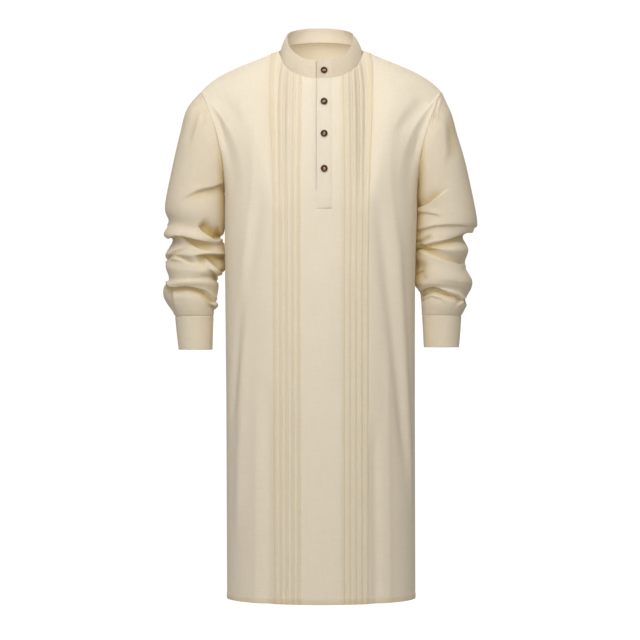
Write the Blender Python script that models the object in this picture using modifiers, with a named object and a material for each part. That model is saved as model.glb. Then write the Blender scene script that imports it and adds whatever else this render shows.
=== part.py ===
"""A long band-collar robe with a tucked front, filled out as if worn, built from its cloth pieces.

The robe faces -Y, its wearer's left is +X and up is +Z, in metres. The origin is between the shoulders, where
the wearer's shoulders carry it. Every cloth piece is a thin closed wall that follows the shape of its cut.
"""
import math
from collections import namedtuple

import bmesh
import bpy
from mathutils import Vector

# Cloth, seams and lays
WALL = 0.0015
SEAM_GAP = 0.0004
LAY_GAP = 0.0003

# Heights of the body
HEM_Z = -1.102
CHEST_Z = -0.310
HEM_ROWS = 9
CHEST_ROWS = 8

# Level outlines of the body from the hem up to the chest line, where the armholes start
Section = namedtuple("Section", "z half_width front_depth back_depth")
BODY_SECTIONS = (
    Section(HEM_Z, 0.1930, 0.140, 0.136),
    Section(-0.700, 0.1945, 0.139, 0.136),
    Section(-0.450, 0.1970, 0.138, 0.137),
    Section(CHEST_Z, 0.1980, 0.136, 0.138),
)
CHEST_HALF = 0.198

# Neckline and collar rim, each a tilted loop that is low in front
Loop = namedtuple("Loop", "half_width front_y side_y back_y front_z side_z back_z")
NECK_BASE = Loop(0.0830, -0.082, -0.006, 0.070, -0.044, 0.020, 0.044)
NECK_RIM = Loop(0.0674, -0.070, -0.004, 0.058, -0.008, 0.052, 0.072)
NECK_FRONT_DROP = 0.8
NECK_AT_CHEST = 0.0885
NECK_LEAN = 0.5
COLLAR_ROWS = 3
COLLAR_SWELL = 0.0015

# Shoulder seam, from the neck out to the tip
TIP = Vector((0.2465, -0.006, -0.066))
SHOULDER_DROOP = 0.020
SHOULDER_DROOP_POWER = 6
SHOULDER_STEPS = 4
TIP_ANGLE = math.radians(50)

# Armhole, from the tip down to the pit
PIT = Vector((0.198, 0.012, -0.265))
ARMHOLE_STEPS = 6
FRONT_SCOOP = 2.1
BACK_SCOOP = 1.7
ARMHOLE_FRONT_DEPTH = 0.056
ARMHOLE_BACK_DEPTH = 0.064

# How the cloth rounds over from the chest to its top edge: 2 is a quarter circle and 1 a straight line, and
# spread is how late it leans out sideways to reach the edge
NECK_ROUND = 1.5
NECK_SIDE_ROUND = 1.2
NECK_SIDE_REACH = math.radians(8)
SHOULDER_ROUND = 2.0
PIT_ROUND = 1.1
NECK_SPREAD = 1.3
TIP_SPREAD = 2.6
STRAIGHT_BELOW_TIP = math.radians(16)
EASE_TURNS = tuple(math.radians(turn) for turn in (-10, -5, 0, 5, 10))
EASE_POWER = 8
BACK_NECK_STEPS = 4

# Tucks on each side of the front, measured outwards from the centre at the chest
TUCK_COUNT = 5
TUCK_FIRST = 0.048
TUCK_PITCH = 0.0122
TUCK_WIDTH = 0.0055
TUCK_RISE = 0.0016
TUCK_FOOT = 0.0007

# Placket, measured across at the chest
SLIT = -0.009
PLACKET_MIDDLE = 0.00625
PLACKET_EDGE = 0.0215
UNDER_EDGE = -0.021
SLIT_ROWS_ABOVE_CHEST = 1
COLLAR_LIFT_END = 0.0403

# Broad folds of the body: each runs from its top point to its low point and swells or sinks by its rise
Fold = namedtuple("Fold", "side top_angle top_z low_angle low_z width rise")
FOLDS = (
    Fold("front", 33, -0.24, 64, -0.86, 0.018, -0.0050),
    Fold("front", 50, -0.30, 74, -0.95, 0.016, 0.0035),
    Fold("front", -34, -0.23, -72, -0.78, 0.018, -0.0045),
    Fold("front", -48, -0.28, -62, -1.02, 0.018, 0.0040),
    Fold("front", 34, -0.70, 36, -1.30, 0.014, -0.0050),
    Fold("front", -33, -0.62, -34, -1.30, 0.013, -0.0050),
    Fold("front", -9, -0.46, 10, -0.80, 0.014, -0.0015),
    Fold("front", 54, -0.10, 66, -0.34, 0.014, -0.0050),
    Fold("front", -54, -0.10, -66, -0.34, 0.014, -0.0050),
    Fold("back", 34, -0.20, 58, -0.90, 0.020, -0.0050),
    Fold("back", -30, -0.22, -52, -0.84, 0.020, -0.0050),
    Fold("back", 12, -0.45, 20, -1.30, 0.022, 0.0045),
    Fold("back", -14, -0.55, -24, -1.30, 0.020, -0.0040),
    Fold("back", 44, -0.62, 46, -1.30, 0.018, -0.0045),
)
FOLD_END_SHARE = 0.2
FOLD_SIDE_FADE = math.radians(10)
FOLD_TOP_FADE = 0.05

# Sleeve rings from below the armhole to the cuff seam. Each passes through an outer, an inner, a front and a
# back point, and cap is the share of the armhole's own curve that is left in it. The wearer's right arm is
# measured with its outer side positive, as the left one is, and mirrored.
Ring = namedtuple("Ring", "out_x out_z in_x in_z front_z front_y back_y cap")
SLEEVE_RIGHT = (
    Ring(0.2749, -0.1017, 0.2040, -0.2680, -0.172, -0.058, 0.073, 0.80),
    Ring(0.2902, -0.1533, 0.2075, -0.2800, -0.205, -0.056, 0.079, 0.45),
    Ring(0.3079, -0.2276, 0.2050, -0.2980, -0.255, -0.050, 0.086, 0.15),
    Ring(0.3217, -0.2998, 0.2030, -0.3280, -0.312, -0.046, 0.092, 0.0),
    Ring(0.3141, -0.3308, 0.2074, -0.3560, -0.3455, -0.036, 0.086, 0.0),
    Ring(0.3236, -0.3560, 0.2085, -0.3680, -0.3640, -0.041, 0.090, 0.0),
    Ring(0.3079, -0.3690, 0.2075, -0.3850, -0.3810, -0.032, 0.082, 0.0),
    Ring(0.3213, -0.4000, 0.2006, -0.4030, -0.4000, -0.037, 0.088, 0.0),
    Ring(0.3175, -0.4112, 0.2012, -0.4200, -0.4148, -0.030, 0.082, 0.0),
    Ring(0.3209, -0.4250, 0.2033, -0.4330, -0.4320, -0.034, 0.085, 0.0),
    Ring(0.3124, -0.4504, 0.2150, -0.4440, -0.4480, -0.029, 0.080, 0.0),
    Ring(0.3250, -0.4620, 0.2099, -0.4610, -0.4560, -0.031, 0.083, 0.0),
    Ring(0.3256, -0.4814, 0.2165, -0.4893, -0.4650, -0.024, 0.078, 0.0),
    Ring(0.3180, -0.4980, 0.2126, -0.5025, -0.4850, -0.024, 0.076, 0.0),
    Ring(0.3060, -0.5160, 0.2204, -0.5118, -0.5090, -0.019, 0.070, 0.0),
    Ring(0.3011, -0.5252, 0.2216, -0.5252, -0.5252, -0.013, 0.067, 0.0),
)
SLEEVE_LEFT = (
    Ring(0.2700, -0.1203, 0.2040, -0.2680, -0.172, -0.058, 0.073, 0.80),
    Ring(0.2823, -0.1616, 0.2075, -0.2800, -0.205, -0.056, 0.079, 0.45),
    Ring(0.3000, -0.2250, 0.2050, -0.2950, -0.252, -0.050, 0.086, 0.15),
    Ring(0.3206, -0.3250, 0.2010, -0.3350, -0.318, -0.046, 0.092, 0.0),
    Ring(0.2957, -0.3590, 0.2035, -0.3800, -0.3740, -0.033, 0.084, 0.0),
    Ring(0.3029, -0.3894, 0.2025, -0.3850, -0.3880, -0.040, 0.088, 0.0),
    Ring(0.2957, -0.4183, 0.2035, -0.3900, -0.4025, -0.034, 0.083, 0.0),
    Ring(0.3103, -0.4498, 0.1995, -0.4350, -0.4430, -0.038, 0.086, 0.0),
    Ring(0.3089, -0.4682, 0.1990, -0.4600, -0.4570, -0.034, 0.084, 0.0),
    Ring(0.2984, -0.4868, 0.2020, -0.4720, -0.4680, -0.025, 0.076, 0.0),
    Ring(0.3008, -0.5000, 0.2050, -0.4900, -0.4830, -0.026, 0.077, 0.0),
    Ring(0.2940, -0.5140, 0.2068, -0.5100, -0.5050, -0.021, 0.071, 0.0),
    Ring(0.2887, -0.5240, 0.2076, -0.5240, -0.5240, -0.013, 0.067, 0.0),
)
SLEEVE_ROWS_PER_RING = 2

# Cuffs: the lower edge of each, and where its lap starts, as a column round the arm
Cuff = namedtuple("Cuff", "out_x in_x front_y back_y z")
CUFF_RIGHT = Cuff(0.2937, 0.2237, -0.0095, 0.0615, -0.5941)
CUFF_LEFT = Cuff(0.2839, 0.2111, -0.0095, 0.0615, -0.5891)
CUFF_ROWS = 2
CUFF_LAP_COLUMN = 16
LAP_COLUMNS = 2

# Buttons: radii and heights of the turned profile, and where the front ones sit
BUTTON_RADIUS = 0.0070
BUTTON_RIM = 0.0012
BUTTON_THICKNESS = 0.0026
BUTTON_DISH = 0.0008
BUTTON_STEPS = 16
BUTTON_SEAT = 0.0004
FRONT_BUTTON_HEIGHTS = (-0.0936, -0.1591, -0.2300)
COLLAR_BUTTON_SHARE = 0.42
CUFF_BUTTON_SHARE = 0.5
MERGE_DISTANCE = 0.00001

UP = Vector((0.0, 0.0, 1.0))

CLOTH_COLOUR = (0.82, 0.74, 0.58)
COLLAR_COLOUR = (0.76, 0.68, 0.53)
BUTTON_COLOUR = (0.10, 0.035, 0.008)
CLOTH_ROUGHNESS = 0.85
BUTTON_ROUGHNESS = 0.30


def mix(start, end, share):
    """The value or point a share of the way from start to end."""
    return start + (end - start) * share


def soft_step(share):
    """A share eased at both ends and held to 0 and 1 beyond them."""
    share = min(max(share, 0.0), 1.0)
    return share * share * (3.0 - 2.0 * share)


def body_ring(side, angle, z):
    """Point of the body's outline at a height, with the angle turning from the middle to the side seam."""
    rows = BODY_SECTIONS
    upper = next((row for row in rows if row.z >= z), rows[-1])
    lower = rows[max(rows.index(upper) - 1, 0)]
    share = 0.0 if upper.z == lower.z else (z - lower.z) / (upper.z - lower.z)
    half_width = mix(lower.half_width, upper.half_width, share)
    if side == "front":
        depth = -mix(lower.front_depth, upper.front_depth, share)
    else:
        depth = mix(lower.back_depth, upper.back_depth, share)
    return Vector((half_width * math.sin(angle), depth * math.cos(angle), z))


def loop_point(loop, angle):
    """Point of a neck loop, with the angle turning from the centre front (0) round to the centre back (pi)."""
    ahead = math.cos(angle)
    x = loop.half_width * math.sin(angle)
    if ahead >= 0:
        y = mix(loop.side_y, loop.front_y, ahead)
        z = mix(loop.side_z, loop.front_z, ahead ** NECK_FRONT_DROP)
    else:
        y = mix(loop.side_y, loop.back_y, -ahead)
        z = mix(loop.side_z, loop.back_z, -ahead)
    return Vector((x, y, z))


def shoulder_point(share):
    """Point of the shoulder seam, from the neck (0) to the tip (1)."""
    neck = loop_point(NECK_BASE, math.pi / 2)
    fall = neck.z - TIP.z - SHOULDER_DROOP
    z = neck.z - fall * share - SHOULDER_DROOP * share ** SHOULDER_DROOP_POWER
    return Vector((mix(neck.x, TIP.x, share), mix(neck.y, TIP.y, share), z))


def armhole_point(turn):
    """Point of the armhole, turning from the tip (0) over the front to the pit (pi) and up the back."""
    upper = (1.0 + math.cos(turn)) / 2.0
    in_front = math.sin(turn) >= 0
    scoop = FRONT_SCOOP if in_front else BACK_SCOOP
    depth = ARMHOLE_FRONT_DEPTH if in_front else ARMHOLE_BACK_DEPTH
    x = mix(PIT.x, TIP.x, upper ** scoop)
    y = mix(PIT.y, TIP.y, upper) - depth * math.sin(turn)
    return Vector((x, y, mix(PIT.z, TIP.z, upper)))


def angle_across(across):
    """Angle on the body of a place that lies a distance across from the centre at the chest."""
    return math.asin(across / CHEST_HALF)


NECK_ANGLE = angle_across(NECK_AT_CHEST)


def top_curve(side, angle):
    """Point where the column at an angle meets the neckline, the shoulder seam or the armhole."""
    size = abs(angle)
    if size <= NECK_ANGLE:
        turn = math.asin(min(CHEST_HALF * math.sin(size) / NECK_AT_CHEST, 1.0))
        point = loop_point(NECK_BASE, turn if side == "front" else math.pi - turn)
    elif size <= TIP_ANGLE:
        point = shoulder_point((size - NECK_ANGLE) / (TIP_ANGLE - NECK_ANGLE))
    else:
        turn = math.pi * (size - TIP_ANGLE) / (math.pi / 2 - TIP_ANGLE)
        point = armhole_point(turn if side == "front" else -turn)
    if angle < 0:
        point.x = -point.x
    return point


def tuck_edges():
    """Distances from the centre to the pressed edge of each tuck."""
    return [TUCK_FIRST + TUCK_PITCH * index for index in range(TUCK_COUNT)]


def shared_angles():
    """Angles of the columns that the front and the back have in common on one half."""
    shoulder = [mix(NECK_ANGLE, TIP_ANGLE, step / SHOULDER_STEPS) for step in range(SHOULDER_STEPS + 1)]
    armhole = [mix(TIP_ANGLE, math.pi / 2, step / ARMHOLE_STEPS) for step in range(1, ARMHOLE_STEPS + 1)]
    return shoulder + armhole


def seam_angles(side):
    """Signed angles whose top points every neighbour shares, in order across the panel."""
    half = shared_angles()
    if side == "front":
        tucks = [edge - back for edge in tuck_edges() for back in (TUCK_WIDTH, 0.0)]
        half += [angle_across(across) for across in tucks]
        middle = [angle_across(across) for across in (UNDER_EDGE, SLIT, PLACKET_MIDDLE, PLACKET_EDGE)]
    else:
        half += [NECK_ANGLE * step / BACK_NECK_STEPS for step in range(1, BACK_NECK_STEPS)]
        middle = [0.0]
    return sorted([-angle for angle in half] + middle + half)


def column_angles(side):
    """Signed angles of a panel's columns: the shared ones, and on the front the foot of each tuck."""
    angles = seam_angles(side)
    if side == "front":
        feet = [angle_across(edge + TUCK_FOOT) for edge in tuck_edges()]
        angles = sorted(angles + feet + [-angle for angle in feet])
    return angles


def top_point(side, angle):
    """Point of the panel's top edge, which runs straight between the angles that neighbours share."""
    keys = seam_angles(side)
    after = next(index for index, key in enumerate(keys) if key >= angle - 1e-9)
    if abs(keys[after] - angle) < 1e-9:
        return top_curve(side, keys[after])
    share = (angle - keys[after - 1]) / (keys[after] - keys[after - 1])
    return mix(top_curve(side, keys[after - 1]), top_curve(side, keys[after]), share)


def eased_top(side, angle):
    """The top edge with its corners rounded off, which the cloth well below the edge follows."""
    keep = 1.0 - soft_step(2.0 * (abs(angle) - NECK_ANGLE) / (TIP_ANGLE - NECK_ANGLE))
    points = [top_curve(side, angle + turn * keep) for turn in EASE_TURNS]
    return sum(points, Vector()) / len(points)


def panel_point(side, angle, row):
    """Point of a panel without folds. Rows rise evenly to the chest, then round over to the top edge."""
    if row <= HEM_ROWS:
        return body_ring(side, angle, mix(HEM_Z, CHEST_Z, row / HEM_ROWS))
    chest = body_ring(side, angle, CHEST_Z)
    top = top_point(side, angle)
    turn = math.pi / 2 * (row - HEM_ROWS) / CHEST_ROWS
    size = abs(angle)
    roundness = SHOULDER_ROUND
    if side == "front":
        roundness = mix(NECK_ROUND, SHOULDER_ROUND, min(size / NECK_ANGLE, 1.0))
        away = (size - NECK_ANGLE) / NECK_SIDE_REACH
        roundness = mix(roundness, NECK_SIDE_ROUND, math.exp(-away * away))
    roundness = mix(roundness, PIT_ROUND, soft_step((size - TIP_ANGLE) / STRAIGHT_BELOW_TIP))
    spread = mix(NECK_SPREAD, TIP_SPREAD, soft_step((size - NECK_ANGLE) / (TIP_ANGLE - NECK_ANGLE)))
    rise = math.sin(turn) ** (2 / roundness)
    reach = abs(math.cos(turn)) ** (2 / roundness)
    if row == HEM_ROWS + CHEST_ROWS:
        reach = 0.0
    eased = eased_top(side, angle)
    goal = mix(eased, top, rise ** EASE_POWER)
    x = mix(chest.x, goal.x, rise ** spread)
    return Vector((x, mix(goal.y, chest.y, reach), mix(chest.z, goal.z, rise)))


def fold_height(side, angle, point, row):
    """How far the broad folds move a point of a panel outwards."""
    height = 0.0
    for fold in FOLDS:
        if fold.side != side:
            continue
        share = (point.z - fold.top_z) / (fold.low_z - fold.top_z)
        along = soft_step(share / FOLD_END_SHARE) * soft_step((1.0 - share) / FOLD_END_SHARE)
        centre = math.radians(mix(fold.top_angle, fold.low_angle, share))
        away = (angle - centre) * CHEST_HALF / fold.width
        height += fold.rise * along * math.exp(-away * away)
    to_side = soft_step((math.pi / 2 - abs(angle)) / FOLD_SIDE_FADE)
    to_top = soft_step((top_point(side, angle).z - point.z) / FOLD_TOP_FADE)
    return height * to_side * (to_top if row > HEM_ROWS else 1.0)


def tuck_height(angle, row):
    """How far a pressed tuck stands up at a column of the front."""
    if row == HEM_ROWS + CHEST_ROWS:
        return 0.0
    across = CHEST_HALF * math.sin(abs(angle))
    return TUCK_RISE if any(abs(across - edge) < 1e-6 for edge in tuck_edges()) else 0.0


def outward_directions(points, closed, towards):
    """Unit normals of a grid of points, all turned away from a middle that towards gives for each point."""
    columns = len(points)
    rows = len(points[0])
    normals = []
    for i in range(columns):
        before = points[(i - 1) % columns] if closed else points[max(i - 1, 0)]
        after = points[(i + 1) % columns] if closed else points[min(i + 1, columns - 1)]
        column = []
        for j in range(rows):
            across = after[j] - before[j]
            along = points[i][min(j + 1, rows - 1)] - points[i][max(j - 1, 0)]
            column.append(across.cross(along).normalized())
        normals.append(column)
    middle = normals[columns // 2][rows // 2]
    point = points[columns // 2][rows // 2]
    if middle.dot(point - towards(point)) < 0:
        normals = [[-normal for normal in column] for column in normals]
    return normals


def part_seam(outer, inner, border, aim, towards, closed=False, beside=()):
    """Draw a border back from its seam, and keep the wall near it on its own side of the seam.

    The seam's plane holds the border's own line and the direction that aim gives into the garment. towards is
    a direction from the seam into this piece, and beside lists the rows near the border that are kept back too.
    """
    count = len(border)
    line = [outer[i][j].copy() for i, j in border]
    for index, (i, j) in enumerate(border):
        before = line[(index - 1) % count] if closed else line[max(index - 1, 0)]
        after = line[(index + 1) % count] if closed else line[min(index + 1, count - 1)]
        side = (after - before).cross(aim(line[index])).normalized()
        if side.dot(towards) < 0:
            side = -side
        wall = inner[i][j] - outer[i][j]
        crossing = min(wall.dot(side), 0.0)
        outer[i][j] = outer[i][j] + side * SEAM_GAP / 2
        inner[i][j] = outer[i][j] + wall - side * crossing
        if not closed and index in (0, count - 1):
            continue
        for row in (j + step for step in beside):
            for grid in (outer, inner):
                reach = (grid[i][row] - line[index]).dot(side)
                grid[i][row] = grid[i][row] + side * max(SEAM_GAP / 2 - reach, 0.0)


def cloth_wall(name, outer, inner, collection, slit=None, closed=False):
    """A closed wall between two grids of points, from a grid whose faces are extruded to the other side."""
    columns = len(outer) - (0 if closed else 1)
    rows = len(outer[0]) - 1
    mesh = bpy.data.meshes.new(name)
    work = bmesh.new()
    bmesh.ops.create_grid(work, x_segments=columns, y_segments=rows, size=0.5)
    depth = work.verts.layers.float_vector.new("depth")
    place = {}
    for vert in work.verts:
        i = round((vert.co.x + 0.5) * columns)
        j = round((vert.co.y + 0.5) * rows)
        place[(i, j)] = vert
    for (i, j), vert in place.items():
        column = i % len(outer)
        vert.co = outer[column][j]
        vert[depth] = inner[column][j] - outer[column][j]
    if closed:
        bmesh.ops.remove_doubles(work, verts=work.verts[:], dist=MERGE_DISTANCE)
    if slit:
        open_slit(work, place, *slit)
    sheet = work.faces[:]
    extruded = bmesh.ops.extrude_face_region(work, geom=sheet, use_keep_orig=True)
    for item in extruded["geom"]:
        if isinstance(item, bmesh.types.BMVert):
            item.co = item.co + item[depth]
    bmesh.ops.recalc_face_normals(work, faces=work.faces[:])
    bmesh.ops.triangulate(work, faces=work.faces[:])
    work.to_mesh(mesh)
    work.free()
    piece = bpy.data.objects.new(name, mesh)
    collection.objects.link(piece)
    return piece


def open_slit(work, place, column, first_row):
    """Part a grid along one column from a row up to its top border."""
    rows = max(j for _, j in place)
    chain = [place[(column, j)] for j in range(first_row, rows + 1)]
    edges = []
    for low, high in zip(chain, chain[1:]):
        edges += [edge for edge in low.link_edges if edge.other_vert(low) is high]
    line_x = {vert.co.z: vert.co.x for vert in chain}
    bmesh.ops.split_edges(work, edges=edges)
    for vert in work.verts:
        on_line = vert.co.z in line_x and abs(line_x[vert.co.z] - vert.co.x) <= MERGE_DISTANCE
        if not on_line or not vert.is_boundary:
            continue
        middle = sum((face.calc_center_median().x for face in vert.link_faces), 0.0) / len(vert.link_faces)
        vert.co.x += math.copysign(SEAM_GAP / 2, middle - vert.co.x)


def cloth_material(name, colour, roughness):
    """A plain finish with one colour."""
    material = bpy.data.materials.new(name)
    material.use_nodes = True
    shader = material.node_tree.nodes["Principled BSDF"]
    shader.inputs["Base Color"].default_value = (*colour, 1.0)
    shader.inputs["Roughness"].default_value = roughness
    shader.inputs["Metallic"].default_value = 0.0
    return material


def dress(piece, colour, roughness):
    """Give a piece a material of its own and shade it smooth apart from its edges."""
    piece.data.materials.append(cloth_material(piece.name + "_finish", colour, roughness))
    piece.data.shade_smooth()
    piece.data.set_sharp_from_angle(angle=math.radians(40))


def into_body(point):
    """Level direction from a point to the body's axis."""
    return Vector((-point.x, -point.y, 0.0)).normalized()


def into_neck(point):
    """Direction from the neck seam into the garment: level towards the neck's axis, and down at the sides."""
    level = Vector((-point.x, NECK_BASE.side_y - point.y, 0.0)).normalized()
    beside = abs(point.x) / NECK_BASE.half_width
    return (level - Vector((0.0, 0.0, NECK_LEAN * beside))).normalized()


def into_armhole(point):
    """Direction from the armhole seam to the armhole's middle."""
    middle = (TIP + PIT) / 2
    middle.x = math.copysign(middle.x, point.x)
    return (middle - point).normalized()


def straight_down(_point):
    """Direction from the shoulder seam into the garment."""
    return -UP


def on_axis(x, y):
    """A function that gives the place on an upright axis that is level with a point."""
    def level_place(point):
        return Vector((x, y, point.z))
    return level_place


def into_axis(x, y):
    """A function that gives the level direction from a point to an upright axis."""
    def direction(point):
        return Vector((x - point.x, y - point.y, 0.0)).normalized()
    return direction


class Panel:
    """The front or the back: its grids of points, which the placket and collar are made from too."""

    def __init__(self, side):
        self.side = side
        self.angles = column_angles(side)
        self.rows = HEM_ROWS + CHEST_ROWS
        plain = [[panel_point(side, angle, row) for row in range(self.rows + 1)] for angle in self.angles]
        self.out = outward_directions(plain, False, on_axis(0.0, 0.0))
        for i in range(self.column(-NECK_ANGLE), self.column(NECK_ANGLE) + 1):
            self.out[i][-1] = -into_neck(plain[i][-1])
        self.folded = [
            [point + self.out[i][row] * fold_height(side, self.angles[i], point, row)
             for row, point in enumerate(column)]
            for i, column in enumerate(plain)
        ]

    def column(self, angle):
        """Index of the column at an angle."""
        return min(range(len(self.angles)), key=lambda i: abs(self.angles[i] - angle))

    def moved(self, distance, columns, rows, tucked=False):
        """Points of a stretch of the panel, moved out by a distance."""
        grid = []
        for i in columns:
            column = []
            for j in rows:
                rise = tuck_height(self.angles[i], j) if tucked else 0.0
                column.append(self.folded[i][j] + self.out[i][j] * (distance + rise))
            grid.append(column)
        return grid


def build_panel(panel, collection):
    """The front or back panel as a wall, parted from every seam round it."""
    columns = range(len(panel.angles))
    rows = range(panel.rows + 1)
    outer = panel.moved(0.0, columns, rows, tucked=panel.side == "front")
    inner = panel.moved(-WALL, columns, rows)
    last = len(panel.angles) - 1
    ahead = Vector((0.0, -1.0 if panel.side == "front" else 1.0, 0.0))
    top = [(i, panel.rows) for i in columns]
    neck = range(panel.column(-NECK_ANGLE), panel.column(NECK_ANGLE) + 1)
    for sign in (-1, 1):
        edge = 0 if sign < 0 else last
        part_seam(outer, inner, [(edge, j) for j in rows], into_body, ahead)
        tip = panel.column(sign * TIP_ANGLE)
        shoulder = sorted((tip, panel.column(sign * NECK_ANGLE)))
        armhole = sorted((edge, tip))
        part_seam(outer, inner, top[shoulder[0]:shoulder[1] + 1], straight_down, ahead)
        part_seam(outer, inner, top[armhole[0]:armhole[1] + 1], into_armhole, Vector((-sign, 0, 0)),
                  beside=(-1, -2, -3))
    part_seam(outer, inner, top[neck[0]:neck[-1] + 1], into_neck, -UP, beside=(-1,))
    slit = None
    if panel.side == "front":
        slit = (panel.column(angle_across(SLIT)), HEM_ROWS + SLIT_ROWS_ABOVE_CHEST)
    piece = cloth_wall(panel.side, outer, inner, collection, slit=slit)
    dress(piece, CLOTH_COLOUR, CLOTH_ROUGHNESS)


def build_placket(front, collection):
    """The strip that shows, on the front's points, and the one behind the front that carries the buttons."""
    spans = {
        "placket_over": (SLIT, LAY_GAP + WALL, LAY_GAP),
        "placket_under": (UNDER_EDGE, -WALL - LAY_GAP, -2 * WALL - LAY_GAP),
    }
    outers = {}
    for name, (start, outer_shift, inner_shift) in spans.items():
        first = front.column(angle_across(start))
        columns = range(first, front.column(angle_across(PLACKET_EDGE)) + 1)
        rows = range(HEM_ROWS, front.rows + 1)
        outer = front.moved(outer_shift, columns, rows)
        inner = front.moved(inner_shift, columns, rows)
        top = [(i, len(rows) - 1) for i in range(len(columns))]
        part_seam(outer, inner, top, into_neck, -UP)
        piece = cloth_wall(name, outer, inner, collection)
        dress(piece, CLOTH_COLOUR, CLOTH_ROUGHNESS)
        outers[name] = outer
    return outers["placket_over"]


def neck_stations():
    """Angles round the neck where the collar has its columns, from the lap round the left side and back."""
    def station(side, angle):
        turn = math.asin(max(min(CHEST_HALF * math.sin(angle) / NECK_AT_CHEST, 1.0), -1.0))
        return turn if side == "front" else math.pi - turn
    front = [station("front", angle) for angle in seam_angles("front") if abs(angle) <= NECK_ANGLE + 1e-9]
    back = [station("back", angle) for angle in seam_angles("back") if abs(angle) < NECK_ANGLE - 1e-9]
    turns = sorted(front + [turn % (2 * math.pi) for turn in back] + [turn + 2 * math.pi for turn in front])
    lap = station("front", angle_across(SLIT))
    under = station("front", angle_across(PLACKET_MIDDLE)) + 2 * math.pi
    return [turn for turn in turns if lap - 1e-9 <= turn <= under + 1e-9]


def build_collar(collection):
    """The standing band, lifted at its front lap so that its other end passes beneath."""
    turns = neck_stations()
    lift_end = math.asin(COLLAR_LIFT_END / NECK_BASE.half_width)
    lap_end = math.asin(PLACKET_EDGE / NECK_AT_CHEST)
    outer = []
    for turn in turns:
        base = loop_point(NECK_BASE, turn)
        rim = loop_point(NECK_RIM, turn)
        level = Vector((base.x, base.y - NECK_BASE.side_y, 0.0)).normalized()
        lift = (WALL + LAY_GAP) * soft_step((lift_end - turn) / (lift_end - lap_end))
        column = []
        for row in range(COLLAR_ROWS + 1):
            share = row / COLLAR_ROWS
            swell = COLLAR_SWELL * math.sin(math.pi * share)
            column.append(mix(base, rim, share) + level * (swell + lift))
        outer.append(column)
    out = outward_directions(outer, False, on_axis(0.0, 0.0))
    inner = [[point - out[i][j] * WALL for j, point in enumerate(column)] for i, column in enumerate(outer)]
    part_seam(outer, inner, [(i, 0) for i in range(len(outer))], into_neck, UP, beside=(1,))
    piece = cloth_wall("collar_stand", outer, inner, collection)
    dress(piece, COLLAR_COLOUR, CLOTH_ROUGHNESS)
    return outer


def ring_point(ring, turn):
    """Point of a sleeve ring, turning from its outer side (0) over the front to its inner side (pi)."""
    middle_x = (ring.out_x + ring.in_x) / 2
    middle_y = (ring.front_y + ring.back_y) / 2
    middle_z = (ring.out_z + ring.in_z) / 2
    x = middle_x + (ring.out_x - ring.in_x) / 2 * math.cos(turn)
    y = middle_y - (ring.back_y - ring.front_y) / 2 * math.sin(turn)
    z = middle_z + (ring.out_z - ring.in_z) / 2 * math.cos(turn) + (ring.front_z - middle_z) * math.sin(turn)
    return Vector((x, y, z))


def armhole_ring():
    """The armhole stated as the first ring of a sleeve."""
    front = armhole_point(math.pi / 2)
    back = armhole_point(-math.pi / 2)
    return Ring(TIP.x, TIP.z, PIT.x, PIT.z, front.z, front.y, back.y, 1.0)


def smooth_between(before, start, end, after, share):
    """A value on the smooth curve through four values, between the middle two."""
    bend = start * 2 + (end - before) * share
    bend += (before * 2 - start * 5 + end * 4 - after) * share ** 2
    bend += (start * 3 - before - end * 3 + after) * share ** 3
    return bend / 2


def sleeve_ring(rings, place):
    """The ring at a place along the sleeve, which may lie between two rows of its table."""
    start = min(int(place), len(rings) - 2)
    around = [rings[min(max(start + step, 0), len(rings) - 1)] for step in (-1, 0, 1, 2)]
    return Ring(*(smooth_between(*values, place - start) for values in zip(*around)))


def armhole_turns():
    """Angles round the sleeve, with a column at each armhole column of the panels and one between."""
    count = 4 * ARMHOLE_STEPS
    return [2 * math.pi * column / count for column in range(count)]


def build_sleeve(name, rows, side, collection):
    """One sleeve as a tube of rings, from the armhole's own curve to the cuff seam."""
    rings = (armhole_ring(),) + rows
    turns = armhole_turns()
    first = armhole_ring()
    step_count = (len(rings) - 1) * SLEEVE_ROWS_PER_RING
    edge = [armhole_point(turn if turn <= math.pi else turn - 2 * math.pi) for turn in turns]
    edge = [point if index % 2 == 0 else (edge[index - 1] + edge[(index + 1) % len(edge)]) / 2
            for index, point in enumerate(edge)]
    outer = []
    for turn, seam_point in zip(turns, edge):
        stray = seam_point - ring_point(first, turn)
        column = []
        for step in range(step_count + 1):
            ring = sleeve_ring(rings, step / SLEEVE_ROWS_PER_RING)
            point = ring_point(ring, turn) + stray * max(ring.cap, 0.0)
            column.append(Vector((point.x * side, point.y, point.z)))
        outer.append(column)
    axis_x = (rows[-1].out_x + rows[-1].in_x) / 2 * side
    axis_y = (rows[-1].front_y + rows[-1].back_y) / 2
    out = outward_directions(outer, True, on_axis(axis_x, axis_y))
    inner = [[point - out[i][j] * WALL for j, point in enumerate(column)] for i, column in enumerate(outer)]
    cuff_edge = [column[-1].copy() for column in outer]
    around = range(len(turns))
    outside = Vector((side, 0, 0))
    part_seam(outer, inner, [(i, 0) for i in around], into_armhole, outside, closed=True, beside=(1, 2, 3))
    part_seam(outer, inner, [(i, step_count) for i in around], into_axis(axis_x, axis_y), UP, closed=True)
    piece = cloth_wall(name, outer, inner, collection, closed=True)
    dress(piece, CLOTH_COLOUR, CLOTH_ROUGHNESS)
    return cuff_edge


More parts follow.
